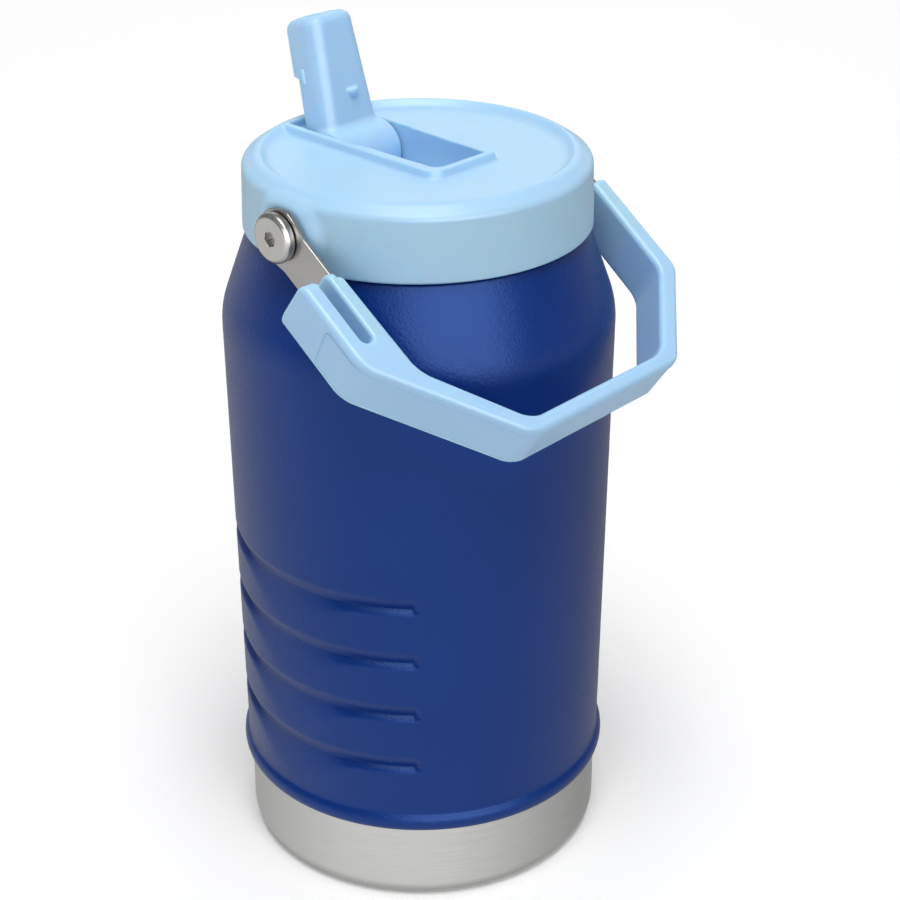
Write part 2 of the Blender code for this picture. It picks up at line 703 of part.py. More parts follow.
def make_straw():
    plate_foot = PLUG_BOTTOM - GAP
    plate_top = PLUG_BOTTOM + PLUG_WALL + GAP
    profile = [
        (TUBE_PORT_RADIUS + GAP, ADAPTOR_TOP),
        (TUBE_PORT_RADIUS + GAP, TUBE_PORT_BOTTOM - GAP),
        (ADAPTOR_BORE, TUBE_PORT_BOTTOM - GAP),
        (ADAPTOR_BORE, STRAW_TOP + GAP),
        (STRAW_RADIUS + GAP, STRAW_TOP + GAP),
        (STRAW_RADIUS + GAP, ADAPTOR_BOTTOM),
        (ADAPTOR_SLEEVE, ADAPTOR_BOTTOM),
        (ADAPTOR_SLEEVE, ADAPTOR_FLANGE_BOTTOM),
        (ADAPTOR_FLANGE, ADAPTOR_FLANGE_BOTTOM),
        (ADAPTOR_FLANGE, plate_foot),
        (ADAPTOR_WAIST, plate_foot),
        (ADAPTOR_WAIST, plate_top),
        (ADAPTOR_FLANGE - 0.0002, plate_top),
        (ADAPTOR_FLANGE - 0.0002, ADAPTOR_SHOULDER),
        (ADAPTOR_TOP_RADIUS, ADAPTOR_SHOULDER + 0.0010),
        (ADAPTOR_TOP_RADIUS, ADAPTOR_TOP),
    ]
    adaptor = add_object("straw_adaptor", moved(revolve(profile, SMALL_SIDES), (0, PORT_Y, 0)))
    paint(adaptor, SILICONE, 0.6)

    tube = [(STRAW_BORE, STRAW_BOTTOM), (STRAW_RADIUS, STRAW_BOTTOM)]
    tube += [(STRAW_RADIUS, STRAW_TOP), (STRAW_BORE, STRAW_TOP)]
    straw = add_object("straw", moved(revolve(tube, SMALL_SIDES), (0, PORT_Y, 0)))
    paint(straw, (0.80, 0.86, 0.90), 0.15)


def lay_on_pivot(obj, side):
    """Lays a piece made along Z outwards along X from the pivot line."""
    obj.location = (0, 0, PIVOT_Z)
    obj.rotation_euler = (0, side * math.pi / 2, 0)


def make_pivots():
    head_foot = STRAP_INNER + STRAP_THICKNESS + GAP
    washer_low = BOSS_FACE + GAP
    washer_high = washer_low + WASHER_THICKNESS
    bolt_profile = [
        (0, BOLT_FACE - BOLT_SOCKET_DEPTH),
        (BOLT_SOCKET_RADIUS, BOLT_FACE - BOLT_SOCKET_DEPTH),
        (BOLT_SOCKET_RADIUS, BOLT_FACE),
        (BOLT_HEAD_RADIUS - BOLT_BEVEL, BOLT_FACE),
        (BOLT_HEAD_RADIUS, BOLT_FACE - BOLT_BEVEL),
        (BOLT_HEAD_RADIUS, head_foot),
        (BOLT_SHOULDER_RADIUS, head_foot),
        (BOLT_SHOULDER_RADIUS, washer_low),
        (BOLT_SHANK_RADIUS, washer_low),
        (BOLT_SHANK_RADIUS, BOLT_SHANK_START),
        (0, BOLT_SHANK_START),
    ]
    insert_profile = [
        (INSERT_BORE, INSERT_START),
        (INSERT_RADIUS, INSERT_START),
        (INSERT_RADIUS, INSERT_END),
        (INSERT_BORE, INSERT_END),
    ]
    washer_profile = [
        (WASHER_BORE, washer_low),
        (WASHER_RADIUS, washer_low),
        (WASHER_RADIUS, washer_high),
        (WASHER_BORE, washer_high),
    ]
    pieces = (
        ("pivot_bolt", bolt_profile, STEEL, 0.3, 24),
        ("pivot_insert", insert_profile, (0.70, 0.52, 0.25), 0.35, 16),
        ("pivot_washer", washer_profile, STEEL, 0.3, 24),
    )
    for name, profile, color, roughness, sides in pieces:
        left = add_object(f"{name}_left", revolve(profile, sides))
        lay_on_pivot(left, -1)
        paint(left, color, roughness, 1.0)
        right = bpy.data.objects.new(f"{name}_right", left.data)
        bpy.context.scene.collection.objects.link(right)
        lay_on_pivot(right, 1)


def spout_tube():
    """The tube from the side, in the (back, up) plane, widened to each side and narrowing to its tip."""
    tip = TUBE_LENGTH
    outline = [(TUBE_FRONT, 0), (TUBE_FRONT, tip - 0.0022), (TUBE_FRONT + 0.0022, tip)]
    outline += [(TUBE_BACK_HIGH - 0.0024, tip), (TUBE_BACK_HIGH, tip - 0.0022)]
    outline += [(TUBE_BACK_HIGH, TUBE_STEP + 0.0018), (TUBE_BACK_LOW, TUBE_STEP), (TUBE_BACK_LOW, 0)]
    bm = bmesh.new()
    sides = []
    for sign in (-1, 1):
        ring = []
        for back, up in outline:
            share = max(0.0, (up - DRUM_RADIUS) / (tip - DRUM_RADIUS))
            half = TUBE_HALF_FOOT + (TUBE_HALF_TIP - TUBE_HALF_FOOT) * share
            ring.append(bm.verts.new((sign * half, back, up)))
        sides.append(ring)
    bm.faces.new(sides[0])
    bm.faces.new(sides[1])
    for index in range(len(outline)):
        after = (index + 1) % len(outline)
        bm.faces.new((sides[0][index], sides[0][after], sides[1][after], sides[1][index]))
    return bm


def bore():
    """The drinking bore: up from the drum's underside, then along the middle of the tube."""
    path = ((0.0, -0.0110), (0.0036, 0.0030), (0.0051, TUBE_LENGTH + 0.002))
    bm = bmesh.new()
    rings = []
    for back, up in path:
        ring = arc((0, back), BORE_RADIUS, 0, 360, 16)[:-1]
        rings.append([bm.verts.new((x, y, up)) for x, y in ring])
    bm.faces.new(rings[0])
    bm.faces.new(rings[-1])
    for ring, following in zip(rings, rings[1:]):
        for index in range(len(ring)):
            after = (index + 1) % len(ring)
            bm.faces.new((ring[index], ring[after], following[after], following[index]))
    return bm


def make_spout():
    pivot = bpy.data.objects.new("spout_pivot", None)
    bpy.context.scene.collection.objects.link(pivot)
    pivot.location = (0, SPOUT_Y, SPOUT_Z)
    pivot.rotation_euler = (-SPOUT_LEAN, 0, 0)

    obj = add_object("spout", spout_tube(), pivot)
    bevel(obj, TUBE_EDGE, 2, 50)
    drum = along_x(cylinder(DRUM_RADIUS, -DRUM_HALF, DRUM_HALF, sides=32))
    trunnions = along_x(cylinder(TRUNNION_RADIUS, -TRUNNION_HALF, TRUNNION_HALF))
    nub = bmesh.new()
    bmesh.ops.create_uvsphere(nub, u_segments=12, v_segments=6, radius=NUB_RADIUS)
    moved(nub, (NUB_X, TUBE_FRONT, NUB_HEIGHT_ON_TUBE))
    ribs = box(RIB_LOW, RIB_HIGH)
    join(
        obj,
        add_object("drum", drum, pivot),
        add_object("trunnions", trunnions, pivot),
        add_object("vent_nub", nub, pivot),
        add_object("detent_ribs", ribs, pivot),
    )
    mouth = box(
        (-MOUTH_HALF, MOUTH_FRONT, TUBE_LENGTH - MOUTH_DEPTH),
        (MOUTH_HALF, MOUTH_BACK, TUBE_LENGTH + MOUTH_DEPTH),
    )
    cut(obj, add_object("spout_bore", bore(), pivot), add_object("mouth", mouth, pivot))
    paint(obj, SKY, 0.42)


def grip_outline():
    """The grip seen square on: (x, distance from the pivot line). Only its left arm carries the hook."""
    right = [
        (GRIP_SIDE_INNER, GRIP_START),
        (GRIP_SIDE_OUTER, GRIP_START),
        (GRIP_SIDE_OUTER, GRIP_BEND + 0.0025),
        (GRIP_FRONT_HALF, GRIP_FRONT_OUTER),
    ]
    hook = [
        (-GRIP_FRONT_HALF, GRIP_FRONT_OUTER),
        (-HOOK_FACE, HOOK_BEND),
        (-HOOK_FACE, HOOK_START + HOOK_CORNER),
        (-HOOK_FACE + HOOK_CORNER, HOOK_START),
        (-SLOT_OUTER, HOOK_START),
    ]
    middle = (SLOT_OUTER + SLOT_INNER) / 2
    slot_end = arc((-middle, SLOT_END), (SLOT_OUTER - SLOT_INNER) / 2, 180, 0, 6)
    inside = [
        (-SLOT_INNER, GRIP_START),
        (-GRIP_SIDE_INNER, GRIP_START),
        (-GRIP_SIDE_INNER + 0.0006, GRIP_TAPER_END),
        (-GRIP_SIDE_INNER + 0.0012, GRIP_BEND),
        (-GRIP_FRONT_INNER_HALF, GRIP_FRONT_INNER),
        (GRIP_FRONT_INNER_HALF, GRIP_FRONT_INNER),
        (GRIP_SIDE_INNER - 0.0012, GRIP_BEND),
        (GRIP_SIDE_INNER - 0.0006, GRIP_TAPER_END),
    ]
    return right + hook + slot_end + inside


def strap_mesh(side):
    """A flat strap with a round eye at the pivot, from there straight into the grip."""
    meet = math.degrees(math.asin(STRAP_HALF_WIDTH / STRAP_EYE_RADIUS))
    corner = STRAP_CORNER
    outline = arc((0, 0), STRAP_EYE_RADIUS, -90 + meet, 270 - meet, 20)
    outline += [(-STRAP_HALF_WIDTH, -STRAP_END + corner), (-STRAP_HALF_WIDTH + corner, -STRAP_END)]
    outline += [(STRAP_HALF_WIDTH - corner, -STRAP_END), (STRAP_HALF_WIDTH, -STRAP_END + corner)]
    bm = prism(outline, STRAP_INNER, STRAP_INNER + STRAP_THICKNESS)
    # (across, along, outwards) to (x, y, z)
    turn = Matrix(((0, 0, side), (0, 1, 0), (1, 0, 0)))
    bmesh.ops.transform(bm, matrix=turn.to_4x4(), verts=bm.verts)
    return bm


def make_handle():
    pivot = bpy.data.objects.new("handle_pivot", None)
    bpy.context.scene.collection.objects.link(pivot)
    pivot.location = (0, 0, PIVOT_Z)
    pivot.rotation_euler = (HANDLE_TILT, 0, 0)

    outline = [(x, -along) for x, along in grip_outline()]
    grip = add_object("handle_grip", prism(outline, -GRIP_HALF_WIDTH, GRIP_HALF_WIDTH), pivot)
    bevel(grip, GRIP_EDGE, 2, 60)
    for name, side in (("left", -1), ("right", 1)):
        low, high = sorted((side * (STRAP_INNER - GAP), side * (STRAP_INNER + STRAP_THICKNESS + GAP)))
        reach = STRAP_HALF_WIDTH + GAP
        socket = box((low, -STRAP_END - GAP, -reach), (high, -SOCKET_START, reach))
        cut(grip, add_object(f"strap_socket_{name}", socket, pivot))
    paint(grip, SKY, 0.42)

    for name, side in (("left", -1), ("right", 1)):
        strap = add_object(f"handle_strap_{name}", strap_mesh(side), pivot)
        hole = along_x(cylinder(STRAP_HOLE_RADIUS, -0.070, 0.070))
        cut(strap, add_object(f"strap_hole_{name}", hole, pivot))
        paint(strap, STEEL, 0.35, 1.0)


def main():
    clear_scene()
    make_outer_shell()
    make_base()
    make_inner_vessel()
    make_gasket()
    make_lid_shell()
    make_lid_plug()
    make_spout_seal()
    make_vent_valve()
    make_straw()
    make_pivots()
    make_spout()
    make_handle()


main()
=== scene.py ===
"""Looks of the insulated water jug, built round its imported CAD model.

Shapes are worked out in millimetres in the CAD model's own frame, and turned into metres when a
mesh is made. The moulded and pressed pieces are given as signed distances: below zero inside the
piece, above zero outside.
"""

import math

import bmesh
import bpy
import numpy as np
from mathutils import Matrix, Vector


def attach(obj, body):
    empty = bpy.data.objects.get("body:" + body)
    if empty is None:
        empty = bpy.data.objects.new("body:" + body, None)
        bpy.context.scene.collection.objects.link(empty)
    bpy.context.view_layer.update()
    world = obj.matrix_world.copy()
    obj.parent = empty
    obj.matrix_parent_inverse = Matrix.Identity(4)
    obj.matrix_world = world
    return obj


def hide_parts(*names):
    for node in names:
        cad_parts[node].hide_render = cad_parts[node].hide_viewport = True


MM = 0.001

# Camera
CAMERA_PLACE = (-447.0, -447.0, 458.35)
CAMERA_RIGHT = (0.69518, -0.71883, -0.00244)
CAMERA_UP = (0.32687, 0.31309, 0.89170)
CAMERA_FORWARD = (0.64022, 0.62069, -0.45262)
CAMERA_LENS = 85.5
CAMERA_SENSOR = 36.0
CAMERA_CLIP = (0.05, 20)

# Even light from above the horizon, and light from below it, which stands in for the floor
WORLD_LIGHT = 0.30
WORLD_LOW = (0.36, 1.50)  # strength of the light from below, on its dim side and on its bright side
WORLD_LOW_SIDE = (-0.90, -0.42, 0.0)  # direction of its bright side
WORLD_DOWN = 0.8  # share of that strength that comes from straight below
WORLD_STEEP = -0.35  # height, on a unit sphere, where it starts to fall to that share
WORLD_HORIZON = 0.06  # half the height of the soft change between the two lights

# Area lights: azimuth and elevation in degrees (azimuth 0 is in front, -90 on the left), distance,
# size, watts, and whether the light falls on matt surfaces or only shows up as a reflection
LIGHT_AIM = (0, 0, 150)
LIGHTS = (
    ("key", -42, 75, 4000, (2200, 2800), 145.0, True),
    ("front", -25, 20, 1400, (1700, 1100), 29.0, False),
    ("back", 135, 25, 1600, (1600, 800), 2.6, True),
)
FLOOR_REACH = 6.0
FLOOR_DROP = 0.0002  # how far the floor lies under the jug, so that the two don't flicker

# Meshing
PROBE = 0.02  # how far a field is looked at on either side of a point to find its slope
FLAT = 1e-9  # a normal shorter than this has no direction
MERGE = 1e-7  # points closer than this many metres are one
SHARP_EDGE = math.radians(38)
FILLET_STEPS = 6

# Steel body
WALL = 0.6
BASE_RADIUS = 60.2
BASE_CORNER = 5.5
BASE_TOP = 28.0
BASE_RIM_RADIUS = 59.6
BASE_RIM_TOP = 33.6
DISC_RADIUS = 33.0
DISC_THICKNESS = 1.2
DISC_RECESS = 1.5
PORT_RADIUS = 1.6
BASE_EDGE = 0.25
BASE_RINGS = (9.0, 14.0, 20.0, 26.0)
BASE_STEP = 0.2  # how far the cup's top edge turns in before the rim
LOW_WALL = (61.1, 35.4)  # (radius, height) where the wall starts above the bead
BEAD = (
    (60.6, 28.2),
    (61.25, 28.3),
    (61.85, 28.7),
    (62.3, 29.4),
    (62.55, 30.3),
    (62.6, 31.2),
    (62.5, 32.1),
    (62.2, 32.9),
    (61.8, 33.5),
    (61.45, 33.9),
    (61.22, 34.25),
    (61.12, 34.7),
)
BEAD_END = 34  # below this height the wall's inside follows the bead
SHOULDER = (63.0, 191.8)
CONE_TOP = (53.6, 218.3)
NECK_RADIUS = 49.2
NECK_FOOT = 221.2
NECK_TOP = 233.7
SHOULDER_ROUND = 28.0
CONE_ROUND = 1.6
NECK_ROUND = 1.2
BODY_SIDES = 288
INNER_SIDE = 2.8  # from the wall's outside to its inside, at the grooves
INNER_LOW = 40  # heights between which the wall's inside is straight
INNER_HIGH = 170
WALL_TOP = 178  # the wall has no rings of its own above this
PLAIN_START = 121  # height above the grooves where the rings are evenly spaced
PLAIN_STEP = 4.0

# Grip grooves on the left and right
GROOVE_LINES = (112.5, 92.5, 72.5, 52.5)
GROOVE_DEPTH = 1.8
GROOVE_LIP = 4.6  # height of the upper slope
GROOVE_RETURN_END = 1.7  # height of the lower slope at a groove's ends
GROOVE_RETURN_MIDDLE = 15.0  # and in its middle
GROOVE_LONG = math.radians(34)  # angle from a groove's middle inside which the lower slope gets taller
GROOVE_FULL = math.radians(42)  # angle from a groove's middle at which its rounded end starts
GROOVE_NOSE = 3.4  # length of a groove's rounded end
GROOVE_SHARPNESS = 0.05
GROOVE_UPPER_BEND = 1.2  # powers that hollow out the upper and the lower slope
GROOVE_LOWER_BEND = 1.3
GROOVE_MIDDLE_BEND = 0.2  # added to the lower slope's power in a groove's middle
RINGS_BELOW = (0, 0.1, 0.25, 0.5, 0.8, 1.15, 1.5, 1.9, 2.5, 3.3, 4.2, 5.4, 7.0, 9.0, 11.3, 13.8)
RINGS_ABOVE = (0.1, 0.25, 0.6, 1.1, 1.7, 2.4, 3.1, 3.8, 4.3, 4.7, 5.4)
END_COLUMNS = (-3.5, 4.0, 0.3)  # extra columns at a groove's end, in degrees: from, to, step
COLUMN_GAP = 0.1  # columns closer together than this many degrees are left out

# Lid
LID_TOP = 243.0
LID_FLOOR = 240.3
LID_UNDERSIDE = 238.0
LID_BOTTOM = 219.35
LID_RADIUS = 55.1
LID_TOP_RADIUS = 54.5
LID_SLANT_RADIUS = 49.4  # where the slanted edge would meet the top
LID_SLANT = math.radians(33)
LID_ROUND = 1.0
LID_LOW_ROUND = 0.6
SKIRT_INSIDE = 53.1
SKIRT_CORNER = 0.8
SKIRT_EDGE = 0.4
DISH_RADIUS = 46.0
DISH_TOP_RADIUS = 48.9
DISH_CORNER = 1.0
DISH_EDGE = 0.4

# Frame round the spout's channel
COLLAR_LEFT = 14.3
COLLAR_RIGHT = 12.8
COLLAR_FRONT = -20.9
COLLAR_CORNER = 5.0
COLLAR_SHARP_CORNER = 1.0
COLLAR_FOOT = 0.8
COLLAR_SLOPE = 0.35  # how far its sides spread for each millimetre down
CHANNEL_HALF = 10.5
CHANNEL_TAPER = 0.024
CHANNEL_FRONT = -18.7
CHANNEL_CORNER = 3.4
CHANNEL_SHARP_CORNER = 0.7
CHANNEL_BACK = 17.0
CHANNEL_BACK_CORNER = 0.2
CHANNEL_FLOOR = 229.5
CHANNEL_FOOT = 0.9
CHANNEL_EDGE = 0.35
POCKET_HALF = 12.0
POCKET_FRONT = 14.6
POCKET_CORNER = 0.5
DRUM_GAP = 0.4
SHELF_BACK = 45.8
SHELF_HEIGHT = 240.6
HOUSING_HALF = 15.4
HOUSING_WALL = 2.4
HOUSING_BACK = 20.0
HOUSING_TOP = LID_FLOOR - 1.0
HOUSING_ROUND = 0.6
SOCKET_BOTTOM = 222.0  # the housing's deeper part, under the spout's drum
SOCKET_BACK = 39.1

# Spout
SPOUT_Y = 27.5
SPOUT_Z = 234.0
SPOUT_LEAN = math.radians(14.5)
DRUM_RADIUS = 9.2
DRUM_HALF = 11.5
DRUM_EDGE = 0.9
DRUM_BLEND = 2.2
TRUNNION_RADIUS = 2.6
TRUNNION_HALF = 13.6
TRUNNION_EDGE = 0.4
TUBE_FRONT = -2.1
TUBE_BACK_LOW = 9.6
TUBE_BACK_HIGH = 11.7
TUBE_LENGTH = 45.3
TUBE_STEP = 26.4
TUBE_STEP_TOP = 27.6
TUBE_HALF_FOOT = 11.5
TUBE_HALF_TIP = 9.2
TUBE_FRONT_ROUND = 5.0
TUBE_BACK_ROUND = 2.0
TUBE_TOP_ROUND = 2.6
CROWN_ACROSS = 0.008  # how quickly the tube's top falls away to the sides, and to front and back
CROWN_ALONG = 0.012
CROWN_MIDDLE = 4.0
RIB_LOW = (-11.0, 5.3, 24.6)
RIB_HIGH = (11.0, 6.9, 29.6)
RIB_ROUND = 0.6
RIB_BLEND = 0.25
BORE_RADIUS = 3.0
BORE_START = -11  # the bore runs from here up to its bend, then on to the tube's top
BORE_BEND = 3
BORE_SHIFT = 3.6  # how far back it has moved at the bend
BORE_RISE = 1.5  # how much further back it moves above the bend
MOUTH_MIDDLE = 5.4
MOUTH_HALF = (5.6, 3.2)
MOUTH_CORNER = 3.1
MOUTH_DEPTH = 2.5
MOUTH_EDGE = 0.7
NUB_X = 1.7
NUB_UP = 20.3
NUB_RADIUS = 2.3
NUB_FLAT = 1.45  # how much it is flattened
NUB_CUT = 0.9  # height of its cut top
NUB_CUT_SLOPE = 0.35
NUB_EDGE = 0.4
PORT_Y = SPOUT_Y - DRUM_RADIUS * math.sin(SPOUT_LEAN)
VENT_Y = SPOUT_Y - NUB_UP

# Under the lid: the port for the straw, and the holes in the lid
PORT_OUTSIDE = 6.2
PORT_BOTTOM = 208.9
PORT_TOP = 224.0
PORT_EDGE = 0.3
SEAT_RADIUS = 6.6
SEAT_BOTTOM = 223.2
STRAW_WAY_RADIUS = 3.2
VENT_RADIUS = 2.3
INSERT_RADIUS = 3.9
INSERT_END = 49.0
LUG_RADIUS = 5.4
LUG_END = 54.0

# Handle and its pivots
PIVOT_Z = 229.5
BOSS_RADIUS = 12.3
BOSS_FACE = 55.8
BOSS_ROOT = 50.0
BOSS_TOP = 239.5
BOSS_ROUND = 2.8
BOSS_TOP_ROUND = 2.0
BOSS_BLEND = 3.2
TAB_MIDDLE = (-9.8, 226.9)
TAB_HALF = (3.3, 3.4)
TAB_CORNER = 0.8
TAB_PROUD = 0.6
TAB_ROOT = 1.0
TAB_EDGE = 0.2
TAB_BLEND = 0.15
STRAP_INNER = 57.0
STRAP_THICKNESS = 1.4
STRAP_MIDDLE = STRAP_INNER + STRAP_THICKNESS / 2
BOLT_HEAD_RADIUS = 7.8
BOLT_FACE = 61.9
BOLT_BEVEL = 1.1
BOLT_EDGE = 0.3
BOLT_SHOULDER_RADIUS = 3.9
BOLT_SHOULDER_EDGE = 0.2
SHANK_RADIUS = 2.0
SHANK_START = 50.6
SHANK_END = 60.0
HEX_HALF = 2.1  # across flats, halved
HEX_DEPTH = 2.0
HEX_TURN = 12  # degrees
HEX_EDGE = 0.15
WASHER_RADIUS = 8.0
WASHER_HOLE = 4.2
WASHER_MIDDLE = 0.55  # out from the boss
WASHER_HALF = 0.25
WASHER_EDGE = 0.12
HANDLE_TILT = math.radians(35.3)
GRIP_HALF_WIDTH = 8.9
GRIP_EDGE = 1.9
GRIP_INNER_EDGE = 1.0
GRIP_END_EDGE = 1.1
UPPER_CORNER = (3.2, 1.6)  # width of the rounding at the ends' upper corners, and how far it cuts back
LOWER_CORNER = (4.6, 0.8)
GRIP_START = 22.3
HOOK_START = 21.2
RIGHT_START = 22.8
WALL_START = 20.4  # where the plastic outside a strap starts
GRIP_OUTLINE = ((61.5, 0.0), (61.5, 62.0), (34.0, 91.2), (-32.6, 92.9), (-70.5, 52.3), (-70.5, 0.0))
GRIP_CORNERS = (2.0, 2.5, 3.5, 3.2)
GRIP_INSIDE = ((55.7, 0.0), (54.6, 60.3), (30.4, 86.0), (-29.8, 87.4), (-53.8, 60.0), (-55.7, 0.0))
INSIDE_CORNERS = (2.0, 3.0, 3.0, 2.0)
SLOT_MIDDLE = -62.5
SLOT_HALF = 2.15
SLOT_END = 46.0
SLOT_EDGE = 1.3
PANEL_DEPTH = 0.35
PANEL_TOP = 5.7
PANEL_BOTTOM = -7.6
PANEL_START = 36.2
PANEL_LEAN = 0.15
PANEL_CORNER = 2.0
PANEL_LOW_CORNER = 1.0
PANEL_STEP = 0.25  # half the width of the step round the panel
PANEL_LINE = 0.35  # depth of the line round it
PANEL_LINE_HALF = 0.5
STRAP_HALF_WIDTH = 7.6
STRAP_EYE_RADIUS = 8.6
STRAP_HOLE_RADIUS = 4.2
STRAP_END = 44.0
STRAP_CORNER = 2.0
STRAP_BLEND = 3.0
STRAP_EDGE = 0.28
CRISP = 0.01  # rounding of an edge that looks sharp
GAP = 0.3

# Brightest and darkest colours of each finish, and the range of its roughness
SKY_LIGHT, SKY_DARK, SKY_ROUGH = (0.420, 0.660, 0.900), (0.406, 0.645, 0.890), (0.31, 0.38)
SKY_GLOW = (0.0010, 0.0026, 0.0044)  # how far red, green and blue light travel inside it, in metres
COAT_DARK, COAT_LIGHT, COAT_ROUGH = (0.0006, 0.0245, 0.172), (0.0009, 0.0262, 0.185), (0.30, 0.38)
COAT_TINT = (0.30, 0.48, 0.92, 1.0)
BASE_STEEL, BASE_ROUGH = (0.49, 0.49, 0.48), (0.26, 0.40)
STRAP_STEEL, STRAP_ROUGH = (0.355, 0.347, 0.335), (0.24, 0.36)
VESSEL_STEEL, VESSEL_ROUGH = (0.60, 0.60, 0.59), (0.22, 0.34)
BOLT_LIGHT, BOLT_DARK, BOLT_ROUGH = (0.425, 0.42, 0.405), (0.405, 0.40, 0.385), (0.26, 0.30)
BRASS_LIGHT, BRASS_DARK, BRASS_ROUGH = (0.72, 0.52, 0.24), (0.62, 0.44, 0.20), (0.30, 0.42)
GETTER_LIGHT, GETTER_DARK, GETTER_ROUGH = (0.32, 0.31, 0.30), (0.24, 0.23, 0.22), (0.6, 0.8)
SOLDER_LIGHT, SOLDER_DARK = (0.20, 0.23, 0.24), (0.16, 0.18, 0.19)
RUBBER_LIGHT, RUBBER_DARK, RUBBER_ROUGH = (0.78, 0.81, 0.81), (0.70, 0.74, 0.75), (0.5, 0.62)
RUBBER_GLOW = (0.002, 0.002, 0.002)
STRAW_DARK, STRAW_LIGHT, STRAW_ROUGH = (0.80, 0.88, 0.92), (0.90, 0.95, 0.97), (0.10, 0.20)
PAPER_DARK, PAPER_LIGHT = (0.975, 0.975, 0.975), (0.985, 0.985, 0.985)
DARK_STREAK = 0.86  # brightness of brushed steel's dark streaks, against its bright ones

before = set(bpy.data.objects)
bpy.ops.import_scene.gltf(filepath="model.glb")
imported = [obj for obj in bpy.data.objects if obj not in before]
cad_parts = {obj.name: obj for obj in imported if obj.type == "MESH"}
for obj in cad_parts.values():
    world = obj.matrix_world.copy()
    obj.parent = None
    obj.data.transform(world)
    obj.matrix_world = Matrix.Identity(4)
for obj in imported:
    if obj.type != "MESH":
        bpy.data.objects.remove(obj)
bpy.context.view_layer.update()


# ---------------------------------------------------------------- distance fields


def both(a, b, radius):
    """Where both pieces are, with the edge between them rounded to that radius."""
    outside = np.hypot(np.maximum(a + radius, 0), np.maximum(b + radius, 0))
    return np.minimum(-radius, np.maximum(a, b)) + outside


def either(a, b, radius):
    """Both pieces as one, with the corner between them filled to that radius."""
    return -both(-a, -b, radius)


def without(a, b, radius):
    """The first piece less the second, with the new edge rounded."""
    return both(a, -b, radius)


def beyond(x, y, start, end):
    """Distance to the right of a line through two points."""
    dx, dy = end[0] - start[0], end[1] - start[1]
    return ((x - start[0]) * dy - (y - start[1]) * dx) / math.hypot(dx, dy)


def convex(x, y, outline, radii):
    """Distance to a convex outline that is open between its last and first points."""
    sides = [beyond(x, y, start, end) for start, end in zip(outline, outline[1:])]
    result = sides[0]
    for side, radius in zip(sides[1:], radii):
        result = both(result, side, radius)
    return result


def smooth_step(value, start, end):
    share = np.clip((value - start) / (end - start), 0, 1)
    return share * share * (3 - 2 * share)


def block(x, y, z, low, high, radius):
    """A box with every edge rounded."""
    sides = []
    for value, bottom, top in zip((x, y, z), low, high):
        sides.append(np.abs(value - (bottom + top) / 2) - (top - bottom) / 2 + radius)
    outside = np.sqrt(sum(np.maximum(side, 0) ** 2 for side in sides))
    inside = np.minimum(np.maximum(np.maximum(sides[0], sides[1]), sides[2]), 0)
    return outside + inside - radius


def gradient(field, points):
    found = np.empty_like(points)
    for axis in range(3):
        ahead, behind = points.copy(), points.copy()
        ahead[:, axis] += PROBE
        behind[:, axis] -= PROBE
        found[:, axis] = (field(*ahead.T) - field(*behind.T)) / (2 * PROBE)
    return found


def settle(field, points, rounds=3, most=0.15):
    """Moves points onto the surface."""
    for _ in range(rounds):
        slope = gradient(field, points)
        share = field(*points.T) / np.maximum((slope**2).sum(1), 0.05)
        points = points - np.clip(share, -most, most)[:, None] * slope
    return points


def surface_net(field, low, high, step):
    """Points and four-sided faces of a field's zero surface, on a regular grid."""
    counts = [int(math.ceil((top - bottom) / step)) + 1 for bottom, top in zip(low, high)]
    x, y, z = (bottom + step * np.arange(count) for bottom, count in zip(low, counts))
    values = np.broadcast_to(field(x[:, None, None], y[None, :, None], z[None, None, :]), counts)
    cells = np.array(counts) - 1
    total = np.zeros((3, int(np.prod(cells))))
    number = np.zeros(int(np.prod(cells)))
    edges = []
    for axis in range(3):
        near = np.take(values, range(counts[axis] - 1), axis)
        far = np.take(values, range(1, counts[axis]), axis)
        at = np.nonzero((near < 0) != (far < 0))
        share = near[at] / (near[at] - far[at])
        place = np.array(at, float)
        place[axis] += share
        others = [other for other in range(3) if other != axis]
        around = []
        for first, second in ((0, 0), (1, 0), (1, 1), (0, 1)):
            cell = np.array(at)
            cell[others[0]] -= first
            cell[others[1]] -= second
            index = np.ravel_multi_index(cell, cells)
            around.append(index)
            number += np.bincount(index, minlength=number.size)
            for own in range(3):
                total[own] += np.bincount(index, place[own], number.size)
        faces = np.array(around).T
        turned = (near[at] < 0) == (axis == 1)
        faces[turned] = faces[turned][:, ::-1]
        edges.append(faces)
    used = number > 0
    points = (total[:, used] / number[used]).T * step + np.array(low)
    rank = np.cumsum(used) - 1
    return settle(field, points), rank[np.concatenate(edges)]


def new_mesh(name, points, faces):
    mesh = bpy.data.meshes.new(name)
    mesh.from_pydata(points * MM, [], faces)
    mesh.update()
    return mesh


def link(name, mesh):
    obj = bpy.data.objects.new(name, mesh)
    bpy.context.scene.collection.objects.link(obj)
    return obj


